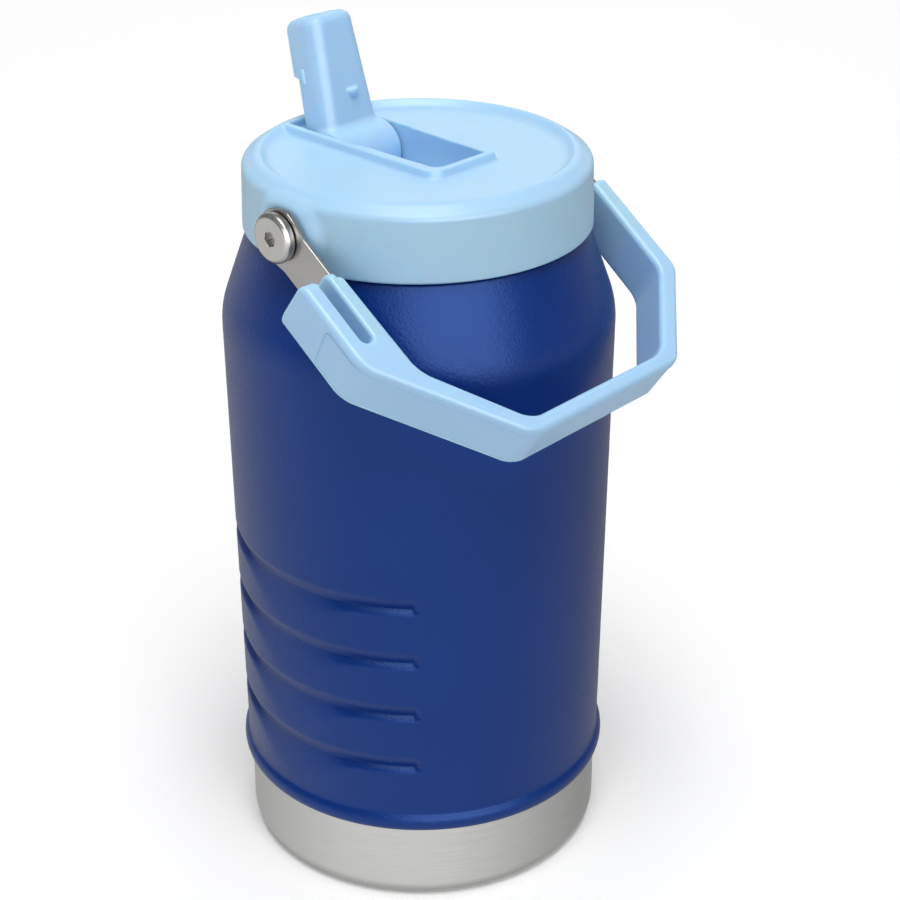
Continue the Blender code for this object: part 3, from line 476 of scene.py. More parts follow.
def moulded(name, field, low, high, step, keep, place=None):
    """A piece from a distance field. keep is the share of its faces that stays after thinning, and
    place moves it into the CAD frame."""
    points, faces = surface_net(field, low, high, step)
    obj = link(name, new_mesh(name, points, faces))
    thin = obj.modifiers.new("Thin", "DECIMATE")
    thin.ratio = keep
    graph = bpy.context.evaluated_depsgraph_get()
    mesh = bpy.data.meshes.new_from_object(obj.evaluated_get(graph))
    obj.modifiers.clear()
    obj.data = mesh
    count = len(mesh.vertices)
    points = np.empty(count * 3)
    mesh.vertices.foreach_get("co", points)
    points = settle(field, points.reshape(-1, 3) / MM, 2, 0.05)
    normals = gradient(field, points)
    normals /= np.maximum(np.linalg.norm(normals, axis=1), FLAT)[:, None]
    if place is not None:
        turn = np.array(place.to_3x3())
        points = points @ turn.T + np.array(place.translation)
        normals = normals @ turn.T
        if place.determinant() < 0:
            mesh.flip_normals()
    mesh.vertices.foreach_set("co", (points * MM).ravel())
    mesh.shade_smooth()
    mesh.update()
    mesh.normals_split_custom_set_from_vertices(normals.tolist())
    return obj


def even_angles(sides):
    return 2 * math.pi * np.arange(sides) / sides


def revolved(name, profile, angles, press=None, pressed=0):
    """Turns a closed (radius, height) outline about Z. press(angle, height) is how far the first rings
    go in, and pressed is how many they are."""
    count, sides = len(profile), len(angles)
    radii = np.array([radius for radius, _ in profile])[:, None]
    heights = np.array([height for _, height in profile])[:, None]
    reach = np.broadcast_to(radii, (count, sides)).copy()
    if press:
        reach[:pressed] -= press(angles[None, :], heights[:pressed])
    height = np.broadcast_to(heights, (count, sides))
    points = np.stack([reach * np.cos(angles), reach * np.sin(angles), height], -1)
    rings = np.arange(count)[:, None] * sides
    after = (np.arange(count)[:, None] + 1) % count * sides
    near, far = np.arange(sides), (np.arange(sides) + 1) % sides
    faces = np.stack([rings + near, rings + far, after + far, after + near], -1).reshape(-1, 4)
    mesh = new_mesh(name, points.reshape(-1, 3), faces)
    obj = link(name, mesh)
    close_mesh(mesh)
    return obj


def close_mesh(mesh):
    """Merges points that meet on the axis, and turns every face outwards."""
    bm = bmesh.new()
    bm.from_mesh(mesh)
    bmesh.ops.remove_doubles(bm, verts=bm.verts, dist=MERGE)
    bmesh.ops.dissolve_degenerate(bm, edges=bm.edges, dist=MERGE / 10)
    bmesh.ops.recalc_face_normals(bm, faces=bm.faces)
    bm.to_mesh(mesh)
    bm.free()
    mesh.shade_smooth()
    mesh.set_sharp_from_angle(angle=SHARP_EDGE)


def arc(center, radius, start, end, steps):
    angles = np.radians(np.linspace(start, end, steps + 1))
    return [(center[0] + radius * math.cos(a), center[1] + radius * math.sin(a)) for a in angles]


def filleted(profile, radii):
    """An open (radius, height) line whose inner corners are rounded to the given radii."""
    made = [profile[0]]
    for before, corner, after, radius in zip(profile, profile[1:], profile[2:], radii):
        here = Vector(corner)
        back = (Vector(before) - here).normalized()
        ahead = (Vector(after) - here).normalized()
        if radius <= 0 or abs(back.dot(ahead)) > 0.99999:
            made.append(corner)
            continue
        half = math.acos(max(-1, min(1, back.dot(ahead)))) / 2
        centre = here + (back + ahead).normalized() * (radius / math.sin(half))
        start = here + back * (radius / math.tan(half)) - centre
        end = here + ahead * (radius / math.tan(half)) - centre
        sweep = start.angle_signed(end)
        for step in range(FILLET_STEPS + 1):
            turned = start.copy()
            turned.rotate(Matrix.Rotation(-sweep * step / FILLET_STEPS, 2))
            made.append(tuple(centre + turned))
    made.append(profile[-1])
    return made


# ---------------------------------------------------------------- steel body


def groove_press(angle, height):
    """How far the wall is pressed in by the grip grooves, in millimetres."""
    side = np.abs(np.arctan2(np.sin(angle), np.abs(np.cos(angle))))
    middle = (1 - smooth_step(side, 0, GROOVE_LONG)) ** 2
    below = GROOVE_RETURN_END + (GROOVE_RETURN_MIDDLE - GROOVE_RETURN_END) * middle
    past = np.maximum(side - GROOVE_FULL, 0) * SHOULDER[0] / GROOVE_NOSE
    past = np.hypot(past, GROOVE_SHARPNESS)
    depth = np.zeros(np.broadcast(angle, height).shape)
    for line in GROOVE_LINES:
        over = np.clip(1 - np.hypot((height - line) / GROOVE_LIP, past), 0, 1)
        over = over**GROOVE_UPPER_BEND
        under = np.clip(1 - np.hypot((line - height) / below, past), 0, 1)
        under = under ** (GROOVE_LOWER_BEND + GROOVE_MIDDLE_BEND * middle)
        depth = np.maximum(depth, np.where(height >= line, over, under))
    return GROOVE_DEPTH * depth


def wall_heights():
    """Heights for the wall's rings: close together at the grooves' crisp lines."""
    rings = set()
    for line in GROOVE_LINES:
        rings.update(round(line - step, 3) for step in RINGS_BELOW)
        rings.update(round(line + step, 3) for step in RINGS_ABOVE)
    rings.update(float(height) for height in np.arange(PLAIN_START, WALL_TOP, PLAIN_STEP))
    lowest = LOW_WALL[1] + 0.4
    return sorted(height for height in rings if lowest < height < WALL_TOP)


def body_angles():
    """Angles for the wall's columns: close together at the grooves' ends."""
    angles = set(np.round(np.linspace(0, 360, BODY_SIDES, endpoint=False), 4))
    full = math.degrees(GROOVE_FULL)
    for end in (full, 180 - full, 180 + full, 360 - full):
        angles.update(np.round(end + np.arange(*END_COLUMNS), 4))
    angles = np.array(sorted(angles))
    return np.radians(angles[np.diff(angles, prepend=-1) > COLUMN_GAP])


def wall_radius(height):
    share = (height - LOW_WALL[1]) / (SHOULDER[1] - LOW_WALL[1])
    return LOW_WALL[0] + share * (SHOULDER[0] - LOW_WALL[0])


def shell_profile():
    """The outer wall's outside, from the bottom edge up to the neck."""
    wall = [(wall_radius(height), height) for height in wall_heights()]
    top = [wall[-1], SHOULDER, CONE_TOP, (NECK_RADIUS, NECK_FOOT), (NECK_RADIUS, NECK_TOP)]
    rounded = filleted(top, (SHOULDER_ROUND, CONE_ROUND, NECK_ROUND))
    return [*BEAD, LOW_WALL, *wall[:-1], *rounded]


def make_outer_shell():
    outside = shell_profile()
    low = [(radius - WALL, height) for radius, height in outside if height < BEAD_END]
    high = [(radius - WALL, height) for radius, height in outside if height > WALL_TOP]
    middle = [(LOW_WALL[0] - INNER_SIDE, INNER_LOW), (SHOULDER[0] - INNER_SIDE, INNER_HIGH)]
    inside = low + middle + high
    profile = outside + inside[::-1]
    return revolved("jug_outer_shell", profile, body_angles(), groove_press, len(outside))


def make_base_cup():
    inner = (BASE_RADIUS - BASE_CORNER, BASE_CORNER)
    recess = DISC_RADIUS + GAP
    profile = [(PORT_RADIUS, DISC_RECESS), (recess, DISC_RECESS)]
    profile += [(recess, BASE_EDGE), (recess + BASE_EDGE, 0)]
    profile += arc(inner, BASE_CORNER, -90, 0, 12)
    profile += [(BASE_RADIUS, height) for height in BASE_RINGS]
    profile += [(BASE_RADIUS, BASE_TOP - BASE_EDGE), (BASE_RADIUS - BASE_STEP, BASE_TOP)]
    profile += [(BASE_RIM_RADIUS, BASE_TOP + WALL), (BASE_RIM_RADIUS, BASE_RIM_TOP)]
    profile += [(BASE_RIM_RADIUS - WALL, BASE_RIM_TOP), (BASE_RIM_RADIUS - WALL, BASE_TOP)]
    profile += [(BASE_RADIUS - WALL, BASE_TOP - WALL)]
    profile += arc(inner, BASE_CORNER - WALL, 0, -90, 12)
    profile += [(recess + WALL, WALL), (recess + WALL, DISC_RECESS + WALL)]
    profile += [(PORT_RADIUS, DISC_RECESS + WALL)]
    return revolved("jug_base_cup", profile, even_angles(BODY_SIDES))


def make_base_disc():
    edge = 0.3
    profile = [(0, 0)] + arc((DISC_RADIUS - edge, edge), edge, -90, 0, 3)
    profile += arc((DISC_RADIUS - edge, DISC_THICKNESS - edge), edge, 0, 90, 3) + [(0, DISC_THICKNESS)]
    return revolved("jug_base_disc", profile, even_angles(128))


# ---------------------------------------------------------------- lid


def collar_side(x, y, z):
    """Distance to the sloping sides of the raised frame."""
    across = both(-COLLAR_LEFT - x, COLLAR_FRONT - y, COLLAR_CORNER)
    across = both(across, x - COLLAR_RIGHT, COLLAR_SHARP_CORNER)
    spread = COLLAR_SLOPE * (LID_TOP - z)
    return (across - spread) / math.hypot(1, COLLAR_SLOPE)


def lid_blank(x, y, z):
    """The turned lid with its recessed top, its raised frame and the pivot bosses."""
    radius = np.hypot(x, y)
    taper = (LID_TOP_RADIUS - LID_RADIUS) / (LID_TOP - LID_BOTTOM)
    side = radius - LID_RADIUS - taper * (z - LID_BOTTOM)
    slant = (radius - LID_SLANT_RADIUS) * math.sin(LID_SLANT) + (z - LID_TOP) * math.cos(LID_SLANT)
    solid = both(both(side, slant, LID_ROUND), z - LID_TOP, LID_ROUND)
    reach = np.abs(x)
    boss = both(np.hypot(y, z - PIVOT_Z) - BOSS_RADIUS, reach - BOSS_FACE, BOSS_ROUND)
    boss = both(boss, z - BOSS_TOP, BOSS_TOP_ROUND)
    boss = np.maximum(boss, BOSS_ROOT - reach)
    solid = either(solid, boss, BOSS_BLEND)
    tab_side, tab_end = np.abs(y - TAB_MIDDLE[0]) - TAB_HALF[0], np.abs(z - TAB_MIDDLE[1]) - TAB_HALF[1]
    tab = both(tab_side, tab_end, TAB_CORNER)
    tab = np.maximum(both(tab, side - TAB_PROUD, TAB_EDGE), -TAB_ROOT - side)
    solid = either(solid, tab, TAB_BLEND)
    solid = both(solid, LID_BOTTOM - z, LID_LOW_ROUND)
    slope = (DISH_TOP_RADIUS - DISH_RADIUS) / (LID_TOP - LID_FLOOR)
    edge = (radius - DISH_RADIUS - slope * (z - LID_FLOOR)) / math.hypot(1, slope)
    dish = both(LID_FLOOR - z, edge, DISH_CORNER)
    dish = both(dish, -collar_side(x, y, z), COLLAR_FOOT)
    return without(solid, dish, DISH_EDGE)


def channel(x, y, z):
    """The space for the folded spout: a trough in front, and a pocket round the spout's drum."""
    half = CHANNEL_HALF + CHANNEL_TAPER * (y - CHANNEL_FRONT)
    front = both(-half - x, CHANNEL_FRONT - y, CHANNEL_CORNER)
    front = both(front, x - half, CHANNEL_SHARP_CORNER)
    front = both(front, y - CHANNEL_BACK, CHANNEL_BACK_CORNER)
    front = both(front, CHANNEL_FLOOR - z, CHANNEL_FOOT)
    back, up = y - SPOUT_Y, z - SPOUT_Z
    drum = np.hypot(back, up) - DRUM_RADIUS - DRUM_GAP
    over = np.maximum(np.maximum(POCKET_FRONT - y, back), CHANNEL_FLOOR - z)
    leaning = back * math.cos(SPOUT_LEAN) - up * math.sin(SPOUT_LEAN)
    behind = np.maximum(np.maximum(leaning - TUBE_BACK_LOW - GAP, -up), -back)
    shelf = np.maximum(np.maximum(SHELF_HEIGHT - z, y - SHELF_BACK), -back)
    pocket = np.minimum(np.minimum(drum, over), np.minimum(behind, shelf))
    pocket = both(pocket, np.abs(x) - POCKET_HALF, POCKET_CORNER)
    return np.minimum(front, pocket)


def lid_field(x, y, z):
    radius = np.hypot(x, y)
    reach = np.abs(x)
    solid = lid_blank(x, y, z)
    cavity = both(radius - SKIRT_INSIDE, z - LID_UNDERSIDE, SKIRT_CORNER)
    solid = without(solid, cavity, SKIRT_EDGE)
    low = (-HOUSING_HALF, CHANNEL_FRONT - HOUSING_WALL, CHANNEL_FLOOR - HOUSING_WALL)
    housing = block(x, y, z, low, (HOUSING_HALF, HOUSING_BACK, HOUSING_TOP), HOUSING_ROUND)
    low = (-HOUSING_HALF, POCKET_FRONT, SOCKET_BOTTOM)
    back = block(x, y, z, low, (HOUSING_HALF, SOCKET_BACK, HOUSING_TOP), HOUSING_ROUND)
    from_port = np.hypot(x, y - PORT_Y)
    from_pivot = np.hypot(y, z - PIVOT_Z)
    port = both(from_port - PORT_OUTSIDE, PORT_BOTTOM - z, PORT_EDGE)
    port = np.maximum(port, z - PORT_TOP)
    lug = np.maximum(from_pivot - LUG_RADIUS, np.maximum(BOSS_ROOT - reach, reach - LUG_END))
    for part in (housing, back, port, lug):
        solid = np.minimum(solid, part)
    solid = without(solid, channel(x, y, z), CHANNEL_EDGE)
    around = np.hypot(y - SPOUT_Y, z - SPOUT_Z)
    trunnion = np.maximum(around - TRUNNION_RADIUS - GAP, reach - TRUNNION_HALF - GAP)
    seal_seat = np.maximum(from_port - SEAT_RADIUS, np.maximum(SEAT_BOTTOM - z, z - SPOUT_Z))
    straw_way = np.maximum(from_port - STRAW_WAY_RADIUS, z - SPOUT_Z)
    vent = np.maximum(np.hypot(x - NUB_X, y - VENT_Y) - VENT_RADIUS, z - SPOUT_Z)
    insert = np.maximum(from_pivot - INSERT_RADIUS, INSERT_END - reach)
    for hole in (trunnion, seal_seat, straw_way, vent, insert):
        solid = np.maximum(solid, -hole)
    return solid


def make_lid():
    low, high = (-57.2, -56.2, 208.0), (57.2, 56.2, 244.2)
    return moulded("lid_moulding", lid_field, low, high, step=0.5, keep=0.28)


# ---------------------------------------------------------------- spout


def spout_field(x, back, up):
    """The spout in its own frame: x across, then backwards and upwards along its lean, from its axis."""
    reach = np.abs(x)
    share = np.clip((up - DRUM_RADIUS) / (TUBE_LENGTH - DRUM_RADIUS), 0, 1.2)
    half = TUBE_HALF_FOOT + (TUBE_HALF_TIP - TUBE_HALF_FOOT) * share
    rear = TUBE_BACK_LOW + (TUBE_BACK_HIGH - TUBE_BACK_LOW) * smooth_step(up, TUBE_STEP, TUBE_STEP_TOP)
    sides = both(reach - half, TUBE_FRONT - back, TUBE_FRONT_ROUND)
    sides = both(sides, back - rear, TUBE_BACK_ROUND)
    top = up - TUBE_LENGTH + CROWN_ACROSS * x**2 + CROWN_ALONG * (back - CROWN_MIDDLE) ** 2
    tube = both(sides, top, TUBE_TOP_ROUND)
    tube = np.maximum(tube, -up)
    drum = both(np.hypot(back, up) - DRUM_RADIUS, reach - DRUM_HALF, DRUM_EDGE)
    solid = either(tube, drum, DRUM_BLEND)
    proud = NUB_FLAT * (back - TUBE_FRONT)
    nub = np.sqrt((x - NUB_X) ** 2 + proud**2 + (up - NUB_UP) ** 2) - NUB_RADIUS
    nub = both(nub, up - NUB_UP - NUB_CUT + NUB_CUT_SLOPE * (TUBE_FRONT - back), NUB_EDGE)
    solid = either(solid, nub, NUB_EDGE)
    rib = block(x, back, up, RIB_LOW, RIB_HIGH, RIB_ROUND)
    solid = either(solid, rib, RIB_BLEND)
    trunnion = both(np.hypot(back, up) - TRUNNION_RADIUS, reach - TRUNNION_HALF, TRUNNION_EDGE)
    solid = np.minimum(solid, trunnion)
    low_bore = BORE_SHIFT * (up - BORE_START) / (BORE_BEND - BORE_START)
    high_bore = BORE_SHIFT + BORE_RISE * (up - BORE_BEND) / (TUBE_LENGTH - 1)
    bore = np.hypot(x, back - np.where(up < BORE_BEND, low_bore, high_bore)) - BORE_RADIUS
    solid = np.maximum(solid, -bore)
    mouth = both(reach - MOUTH_HALF[0], np.abs(back - MOUTH_MIDDLE) - MOUTH_HALF[1], MOUTH_CORNER)
    mouth = np.maximum(mouth, TUBE_LENGTH - MOUTH_DEPTH - up)
    return without(solid, mouth, MOUTH_EDGE)


def make_spout():
    place = Matrix.Translation((0, SPOUT_Y, SPOUT_Z)) @ Matrix.Rotation(-SPOUT_LEAN, 4, "X")
    low, high = (-14.6, -10.4, -10.4), (14.6, 12.4, 46.0)
    return moulded("spout_moulding", spout_field, low, high, step=0.34, keep=0.4, place=place)


# ---------------------------------------------------------------- handle


def grip_field(x, along, across):
    """The grip in the handle's frame: x, distance from the pivots, and distance across its width."""
    hull = convex(x, along, GRIP_OUTLINE, GRIP_CORNERS)
    panel_end = PANEL_START + PANEL_LEAN * (PANEL_TOP - across)
    panel = both(across - PANEL_TOP, panel_end - along, PANEL_CORNER)
    panel = both(panel, PANEL_BOTTOM - across, PANEL_LOW_CORNER)
    hull = hull + PANEL_DEPTH * smooth_step(-panel, -PANEL_STEP, PANEL_STEP)
    hull = hull + PANEL_LINE * (1 - smooth_step(np.abs(panel), 0, PANEL_LINE_HALF))
    space = convex(x, along, GRIP_INSIDE, INSIDE_CORNERS)
    solid = without(hull, space, GRIP_INNER_EDGE)
    solid = both(solid, np.abs(across) - GRIP_HALF_WIDTH, GRIP_EDGE)
    reach = np.abs(x)
    start = np.where(reach > STRAP_MIDDLE, WALL_START, GRIP_START)
    start = np.where(x < SLOT_MIDDLE, HOOK_START, start)
    start = np.where(x > 0, RIGHT_START, start)
    for side, (width, cut) in ((across, UPPER_CORNER), (-across, LOWER_CORNER)):
        start = start + cut * np.clip((side - (GRIP_HALF_WIDTH - width)) / width, 0, 1) ** 2
    solid = both(solid, (start - along) / GRIP_END_EDGE, GRIP_END_EDGE)
    slot = both(np.abs(x - SLOT_MIDDLE) - SLOT_HALF, along - SLOT_END, SLOT_HALF - 0.02)
    solid = without(solid, slot, SLOT_EDGE)
    thick = np.abs(reach - STRAP_MIDDLE) - STRAP_THICKNESS / 2 - GAP
    socket = np.maximum(thick, np.abs(across) - STRAP_HALF_WIDTH - GAP)
    socket = np.maximum(socket, along - STRAP_END - GAP)
    return np.maximum(solid, -socket)


def handle_place():
    """The handle's frame at rest: (x, along, across) to the CAD frame."""
    turned = Matrix.Rotation(HANDLE_TILT, 4, "X") @ Matrix.Scale(-1, 4, (0, 1, 0))
    return Matrix.Translation((0, 0, PIVOT_Z)) @ turned


def make_grip():
    low, high = (-71.4, 16.6, -9.6), (61.8, 94.6, 9.6)
    place = handle_place()
    return moulded("handle_moulding", grip_field, low, high, step=0.36, keep=0.45, place=place)


def strap_field(side):
    def field(x, along, across):
        eye = np.hypot(along, across) - STRAP_EYE_RADIUS
        bar = both(np.abs(across) - STRAP_HALF_WIDTH, along - STRAP_END, STRAP_CORNER)
        bar = np.maximum(bar, -along)
        flat = either(eye, bar, STRAP_BLEND)
        flat = without(flat, np.hypot(along, across) - STRAP_HOLE_RADIUS, CRISP)
        return both(flat, np.abs(x - side * STRAP_MIDDLE) - STRAP_THICKNESS / 2, STRAP_EDGE)

    return field


def make_strap(name, side):
    near, far = sorted((side * (STRAP_INNER - 0.8), side * (STRAP_INNER + STRAP_THICKNESS + 0.8)))
    low, high = (near, -9.6, -9.6), (far, STRAP_END + 1, 9.6)
    place = handle_place()
    return moulded(name, strap_field(side), low, high, step=0.28, keep=0.3, place=place)


def bolt_field(side):
    def field(x, y, z):
        out = side * x
        around = np.hypot(y, z - PIVOT_Z)
        head = both(around - BOLT_HEAD_RADIUS, out - BOLT_FACE, BOLT_EDGE)
        bevel = (around - BOLT_HEAD_RADIUS + out - BOLT_FACE + BOLT_BEVEL) / math.sqrt(2)
        head = both(head, bevel, BOLT_EDGE)
        head = both(head, STRAP_INNER + STRAP_THICKNESS + GAP - out, BOLT_EDGE)
        shoulder = BOSS_FACE + GAP - out
        shoulder = both(around - BOLT_SHOULDER_RADIUS, shoulder, BOLT_SHOULDER_EDGE)
        shoulder = np.maximum(shoulder, out - SHANK_END)
        shank = np.maximum(around - SHANK_RADIUS, np.maximum(SHANK_START - out, out - SHANK_END))
        solid = np.minimum(np.minimum(head, shoulder), shank)
        socket = BOLT_FACE - HEX_DEPTH - out
        for corner in range(3):
            angle = math.radians(60 * corner + HEX_TURN)
            face = np.abs(y * math.cos(angle) + (z - PIVOT_Z) * math.sin(angle)) - HEX_HALF
            socket = np.maximum(socket, face)
        return without(solid, socket, HEX_EDGE)

    return field


def make_bolt(name, side):
    near, far = sorted((side * 50.0, side * (BOLT_FACE + 0.6)))
    low, high = (near, -8.4, PIVOT_Z - 8.4), (far, 8.4, PIVOT_Z + 8.4)
    return moulded(name, bolt_field(side), low, high, step=0.17, keep=0.35)


def washer_field(side):
    def field(x, y, z):
        around = np.hypot(y, z - PIVOT_Z)
        ring = without(around - WASHER_RADIUS, around - WASHER_HOLE, CRISP)
        middle = BOSS_FACE + WASHER_MIDDLE
        return both(ring, np.abs(side * x - middle) - WASHER_HALF, WASHER_EDGE)

    return field


def make_washer(name, side):
    near, far = sorted((side * 55.6, side * 57.2))
    low, high = (near, -8.6, PIVOT_Z - 8.6), (far, 8.6, PIVOT_Z + 8.6)
    return moulded(name, washer_field(side), low, high, step=0.15, keep=0.2)


# ---------------------------------------------------------------- materials


class Finish:
    """A node material, with short calls for the nodes it needs."""

    def __init__(self, name):
        self.material = bpy.data.materials.new(name)
        self.material.use_nodes = True
        self.nodes = self.material.node_tree.nodes
        self.links = self.material.node_tree.links
        self.shader = self.nodes["Principled BSDF"]
        self.place = self.nodes.new("ShaderNodeTexCoord").outputs["Object"]

    def connect(self, source, target):
        self.links.new(source, target)

    def value(self, name, number):
        self.shader.inputs[name].default_value = number

    def stretched(self, scale):
        mapping = self.nodes.new("ShaderNodeMapping")
        mapping.inputs["Scale"].default_value = scale
        self.connect(self.place, mapping.inputs["Vector"])
        return mapping.outputs["Vector"]

    def noise(self, size, detail, vector=None, roughness=0.5):
        """Noise whose lumps are about size metres across."""
        node = self.nodes.new("ShaderNodeTexNoise")
        node.inputs["Scale"].default_value = 1 / size
        node.inputs["Detail"].default_value = detail
        node.inputs["Roughness"].default_value = roughness
        self.connect(vector or self.place, node.inputs["Vector"])
        return node.outputs["Fac"]

    def ramp(self, source, low, high, span=(0.3, 0.7)):
        """A number that follows source, from low to high."""
        node = self.nodes.new("ShaderNodeMapRange")
        node.inputs["From Min"].default_value = span[0]
        node.inputs["From Max"].default_value = span[1]
        node.inputs["To Min"].default_value = low
        node.inputs["To Max"].default_value = high
        self.connect(source, node.inputs["Value"])
        return node.outputs["Result"]

    def mix(self, source, first, second):
        node = self.nodes.new("ShaderNodeMix")
        node.data_type = "RGBA"
        node.inputs["A"].default_value = (*first, 1)
        node.inputs["B"].default_value = (*second, 1)
        self.connect(source, node.inputs["Factor"])
        return node.outputs["Result"]

    def color(self, source, first, second, span=(0.3, 0.7)):
        """The base colour follows source, from first to second."""
        mixed = self.mix(self.ramp(source, 0, 1, span), first, second)
        self.connect(mixed, self.shader.inputs["Base Color"])

    def rough(self, source, low, high):
        """The roughness follows source, from low to high."""
        self.connect(self.ramp(source, low, high), self.shader.inputs["Roughness"])

    def total(self, first, second, share):
        """The first number, and a share of the second."""
        node = self.nodes.new("ShaderNodeMath")
        node.operation = "MULTIPLY_ADD"
        node.inputs[1].default_value = share
        self.connect(second, node.inputs[0])
        self.connect(first, node.inputs[2])
        return node.outputs["Value"]

    def glow(self, weight, radius):
        """Light that travels a little way inside the piece."""
        self.value("Subsurface Weight", weight)
        self.value("Subsurface Radius", radius)
        self.value("Subsurface Scale", 1.0)

    def bump(self, source, height, strength):
        node = self.nodes.new("ShaderNodeBump")
        node.inputs["Strength"].default_value = strength
        node.inputs["Distance"].default_value = height
        self.connect(source, node.inputs["Height"])
        self.connect(node.outputs["Normal"], self.shader.inputs["Normal"])


def moulded_plastic(name):
    """Satin plastic: a fine spark-eroded grain and slight clouding."""
    made = Finish(name)
    cloud = made.noise(0.03, 2.0)
    made.color(cloud, SKY_LIGHT, SKY_DARK)
    grain = made.noise(0.0005, 3.0)
    wear = made.noise(0.006, 4.0)
    made.rough(wear, *SKY_ROUGH)
    made.bump(made.total(grain, wear, 0.5), 0.00002, 0.6)
    made.glow(0.5, SKY_GLOW)
    made.value("Specular IOR Level", 0.5)
    return made.material


def powder_coat(name):
    """Baked powder coat: a fine orange-peel stipple over a deep blue."""
    made = Finish(name)
    cloud = made.noise(0.05, 2.0)
    made.color(cloud, COAT_DARK, COAT_LIGHT)
    stipple = made.noise(0.00085, 1.0, roughness=0.4)
    uneven = made.noise(0.004, 2.0)
    made.rough(stipple, *COAT_ROUGH)
    made.bump(made.total(stipple, uneven, 0.15), 0.00010, 0.8)
    made.value("Specular IOR Level", 0.45)
    made.value("Specular Tint", COAT_TINT)
    return made.material


def brushed_steel(name, scale, color, roughness):
    """Steel brushed along one direction: scale is how fast the brushing changes along each axis."""
    made = Finish(name)
    streaks = made.noise(0.02, 4.0, made.stretched(scale), 0.6)
    broad_scale = tuple(1 if part == 1 else 0.05 for part in scale)
    broad = made.noise(0.03, 2.0, made.stretched(broad_scale))
    dark = tuple(DARK_STREAK * part for part in color)
    made.color(made.total(streaks, broad, 0.4), dark, color, (0.45, 0.95))
    made.rough(streaks, *roughness)
    made.bump(streaks, 0.000012, 0.8)
    made.value("Metallic", 1.0)
    return made.material


def silicone(name, light, dark):
    """Matt and slightly see-through: the seals, and the solder glass of the vacuum's seal."""
    made = Finish(name)
    cloud = made.noise(0.008, 3.0)
    made.color(cloud, light, dark)
    made.rough(cloud, *RUBBER_ROUGH)
    made.bump(made.noise(0.0004, 2.0), 0.00002, 0.5)
    made.glow(0.3, RUBBER_GLOW)
    return made.material


def straw_plastic(name):
    """Clear plastic, drawn as a tube, so that its faint streaks run lengthwise."""
    made = Finish(name)
    streaks = made.noise(0.01, 3.0, made.stretched((12, 12, 0.6)))
    made.color(streaks, STRAW_DARK, STRAW_LIGHT)
    made.rough(streaks, *STRAW_ROUGH)
    made.value("Transmission Weight", 0.6)
    made.value("IOR", 1.49)
    return made.material


def cast_metal(name, light, dark, roughness):
    """Metal with no direction to its finish, slightly clouded."""
    made = Finish(name)
    cloud = made.noise(0.003, 4.0)
    made.color(cloud, light, dark)
    made.rough(cloud, *roughness)
    made.bump(made.noise(0.0006, 2.0), 0.00001, 0.5)
    made.value("Metallic", 1.0)
    return made.material


def dress(obj, material):
    obj.data.materials.clear()
    obj.data.materials.append(material)


# ---------------------------------------------------------------- assembly

sky = moulded_plastic("sky_plastic")
coat = powder_coat("blue_coat")
base_steel = brushed_steel("base_brushed_steel", (1, 1, 60), BASE_STEEL, BASE_ROUGH)
strap_steel = brushed_steel("strap_brushed_steel", (50, 1.5, 2.5), STRAP_STEEL, STRAP_ROUGH)
vessel_steel = brushed_steel("vessel_brushed_steel", (1, 1, 30), VESSEL_STEEL, VESSEL_ROUGH)
bolt_steel = cast_metal("bolt_steel", BOLT_LIGHT, BOLT_DARK, BOLT_ROUGH)
brass = cast_metal("insert_brass", BRASS_LIGHT, BRASS_DARK, BRASS_ROUGH)
getter_metal = cast_metal("getter_metal", GETTER_LIGHT, GETTER_DARK, GETTER_ROUGH)
seal_glass = silicone("seal_solder", SOLDER_LIGHT, SOLDER_DARK)
rubber = silicone("clear_silicone", RUBBER_LIGHT, RUBBER_DARK)
clear = straw_plastic("clear_straw")


def place_piece(obj, body, material, node):
    """Dresses a piece, makes it move with a body, and hides the CAD node that it replaces."""
    dress(obj, material)
    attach(obj, body)
    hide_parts(node)


place_piece(make_outer_shell(), "jug", coat, "outer_shell")
place_piece(make_base_cup(), "jug", base_steel, "base_cup")
place_piece(make_base_disc(), "jug", base_steel, "base_disc")
place_piece(make_lid(), "lid", sky, "lid_shell")
place_piece(make_spout(), "spout", sky, "spout")
place_piece(make_grip(), "handle", sky, "handle_grip")
for side_name, side_sign in (("left", -1), ("right", 1)):
    strap = make_strap(f"strap_{side_name}", side_sign)
    place_piece(strap, "handle", strap_steel, f"handle_strap_{side_name}")
    bolt = make_bolt(f"bolt_{side_name}", side_sign)
    place_piece(bolt, "lid", bolt_steel, f"pivot_bolt_{side_name}")
    washer = make_washer(f"washer_{side_name}", side_sign)
    place_piece(washer, "lid", bolt_steel, f"pivot_washer_{side_name}")

CARRIED = {
    "inner_vessel": vessel_steel,
    "getter": getter_metal,
    "vacuum_seal_plug": seal_glass,
    "lid_gasket": rubber,
    "lid_plug": sky,
    "spout_seal": rubber,
    "vent_valve": rubber,
    "straw_adaptor": rubber,
    "straw": clear,
    "pivot_insert_left": brass,
    "pivot_insert_right": brass,
}
for node_name, finish in CARRIED.items():
    dress(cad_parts[node_name], finish)


# ---------------------------------------------------------------- stage, light and camera


def make_floor():
    """White paper. The jug doesn't see it, because the light from below stands in for it."""
    mesh = bpy.data.meshes.new("floor")
    signs = ((-1, -1), (1, -1), (1, 1), (-1, 1))
    corners = [(FLOOR_REACH * x, FLOOR_REACH * y, -FLOOR_DROP) for x, y in signs]
    mesh.from_pydata(corners, [], [(0, 1, 2, 3)])
    floor = link("floor", mesh)
    made = Finish("floor_paper")
    cloud = made.noise(0.8, 2.0)
    made.color(cloud, PAPER_DARK, PAPER_LIGHT)
    made.value("Roughness", 0.9)
    dress(floor, made.material)
    floor.visible_diffuse = False
    floor.visible_glossy = False


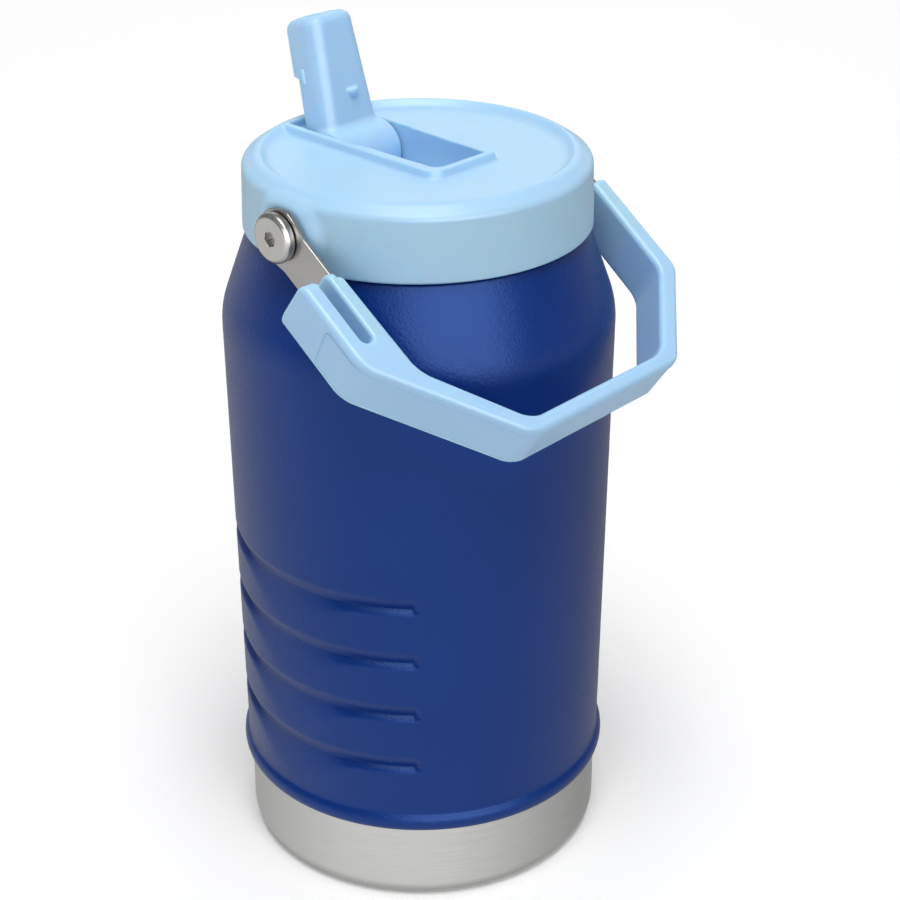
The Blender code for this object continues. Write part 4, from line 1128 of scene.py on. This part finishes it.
def area_light(name, place, size, power, matt):
    data = bpy.data.lights.new(name, "AREA")
    data.shape = "RECTANGLE"
    data.size, data.size_y = size[0] * MM, size[1] * MM
    data.energy = power
    light = link(name, data)
    light.location = Vector(place) * MM
    light.rotation_euler = (Vector(LIGHT_AIM) - Vector(place)).to_track_quat("-Z", "Y").to_euler()
    light.visible_diffuse = matt


def spread(tree, source, start, end, low, high):
    """A node that goes from low to high as source goes from start to end."""
    node = tree.nodes.new("ShaderNodeMapRange")
    for name, number in zip(("From Min", "From Max", "To Min", "To Max"), (start, end, low, high)):
        node.inputs[name].default_value = number
    tree.links.new(source, node.inputs["Value"])
    return node


def light_from_all_sides(tree, strength):
    """Even light from above, and light from below that fades away from its bright side."""
    way = tree.nodes.new("ShaderNodeTexCoord").outputs["Generated"]
    split = tree.nodes.new("ShaderNodeSeparateXYZ")
    tree.links.new(way, split.inputs["Vector"])
    toward = tree.nodes.new("ShaderNodeVectorMath")
    toward.operation = "DOT_PRODUCT"
    toward.inputs[1].default_value = WORLD_LOW_SIDE
    tree.links.new(way, toward.inputs[0])
    low = spread(tree, toward.outputs["Value"], -1, 1, *WORLD_LOW)
    steep = spread(tree, split.outputs["Z"], -1, WORLD_STEEP, WORLD_DOWN, 1)
    product = tree.nodes.new("ShaderNodeMath")
    product.operation = "MULTIPLY"
    tree.links.new(low.outputs["Result"], product.inputs[0])
    tree.links.new(steep.outputs["Result"], product.inputs[1])
    above = spread(tree, split.outputs["Z"], -WORLD_HORIZON, WORLD_HORIZON, 0, WORLD_LIGHT)
    tree.links.new(product.outputs["Value"], above.inputs["To Min"])
    tree.links.new(above.outputs["Result"], strength)


def make_light():
    world = bpy.data.worlds.new("studio")
    world.use_nodes = True
    background = world.node_tree.nodes["Background"]
    background.inputs["Color"].default_value = (1.0, 1.0, 1.0, 1)
    light_from_all_sides(world.node_tree, background.inputs["Strength"])
    bpy.context.scene.world = world
    for name, azimuth, elevation, distance, size, power, matt in LIGHTS:
        turn, rise = math.radians(azimuth), math.radians(elevation)
        level = math.cos(rise)
        way = Vector((math.sin(turn) * level, -math.cos(turn) * level, math.sin(rise)))
        area_light(name, way * distance + Vector(LIGHT_AIM), size, power, matt)


def make_camera():
    data = bpy.data.cameras.new("camera")
    data.lens = CAMERA_LENS
    data.sensor_width = CAMERA_SENSOR
    data.clip_start, data.clip_end = CAMERA_CLIP
    camera = link("camera", data)
    right, up, back = Vector(CAMERA_RIGHT), Vector(CAMERA_UP), -Vector(CAMERA_FORWARD)
    turn = Matrix((right, up, back)).transposed().to_4x4()
    camera.matrix_world = Matrix.Translation(Vector(CAMERA_PLACE) * MM) @ turn
    bpy.context.scene.camera = camera


make_floor()
make_light()
make_camera()
bpy.context.scene.view_settings.view_transform = "Standard"
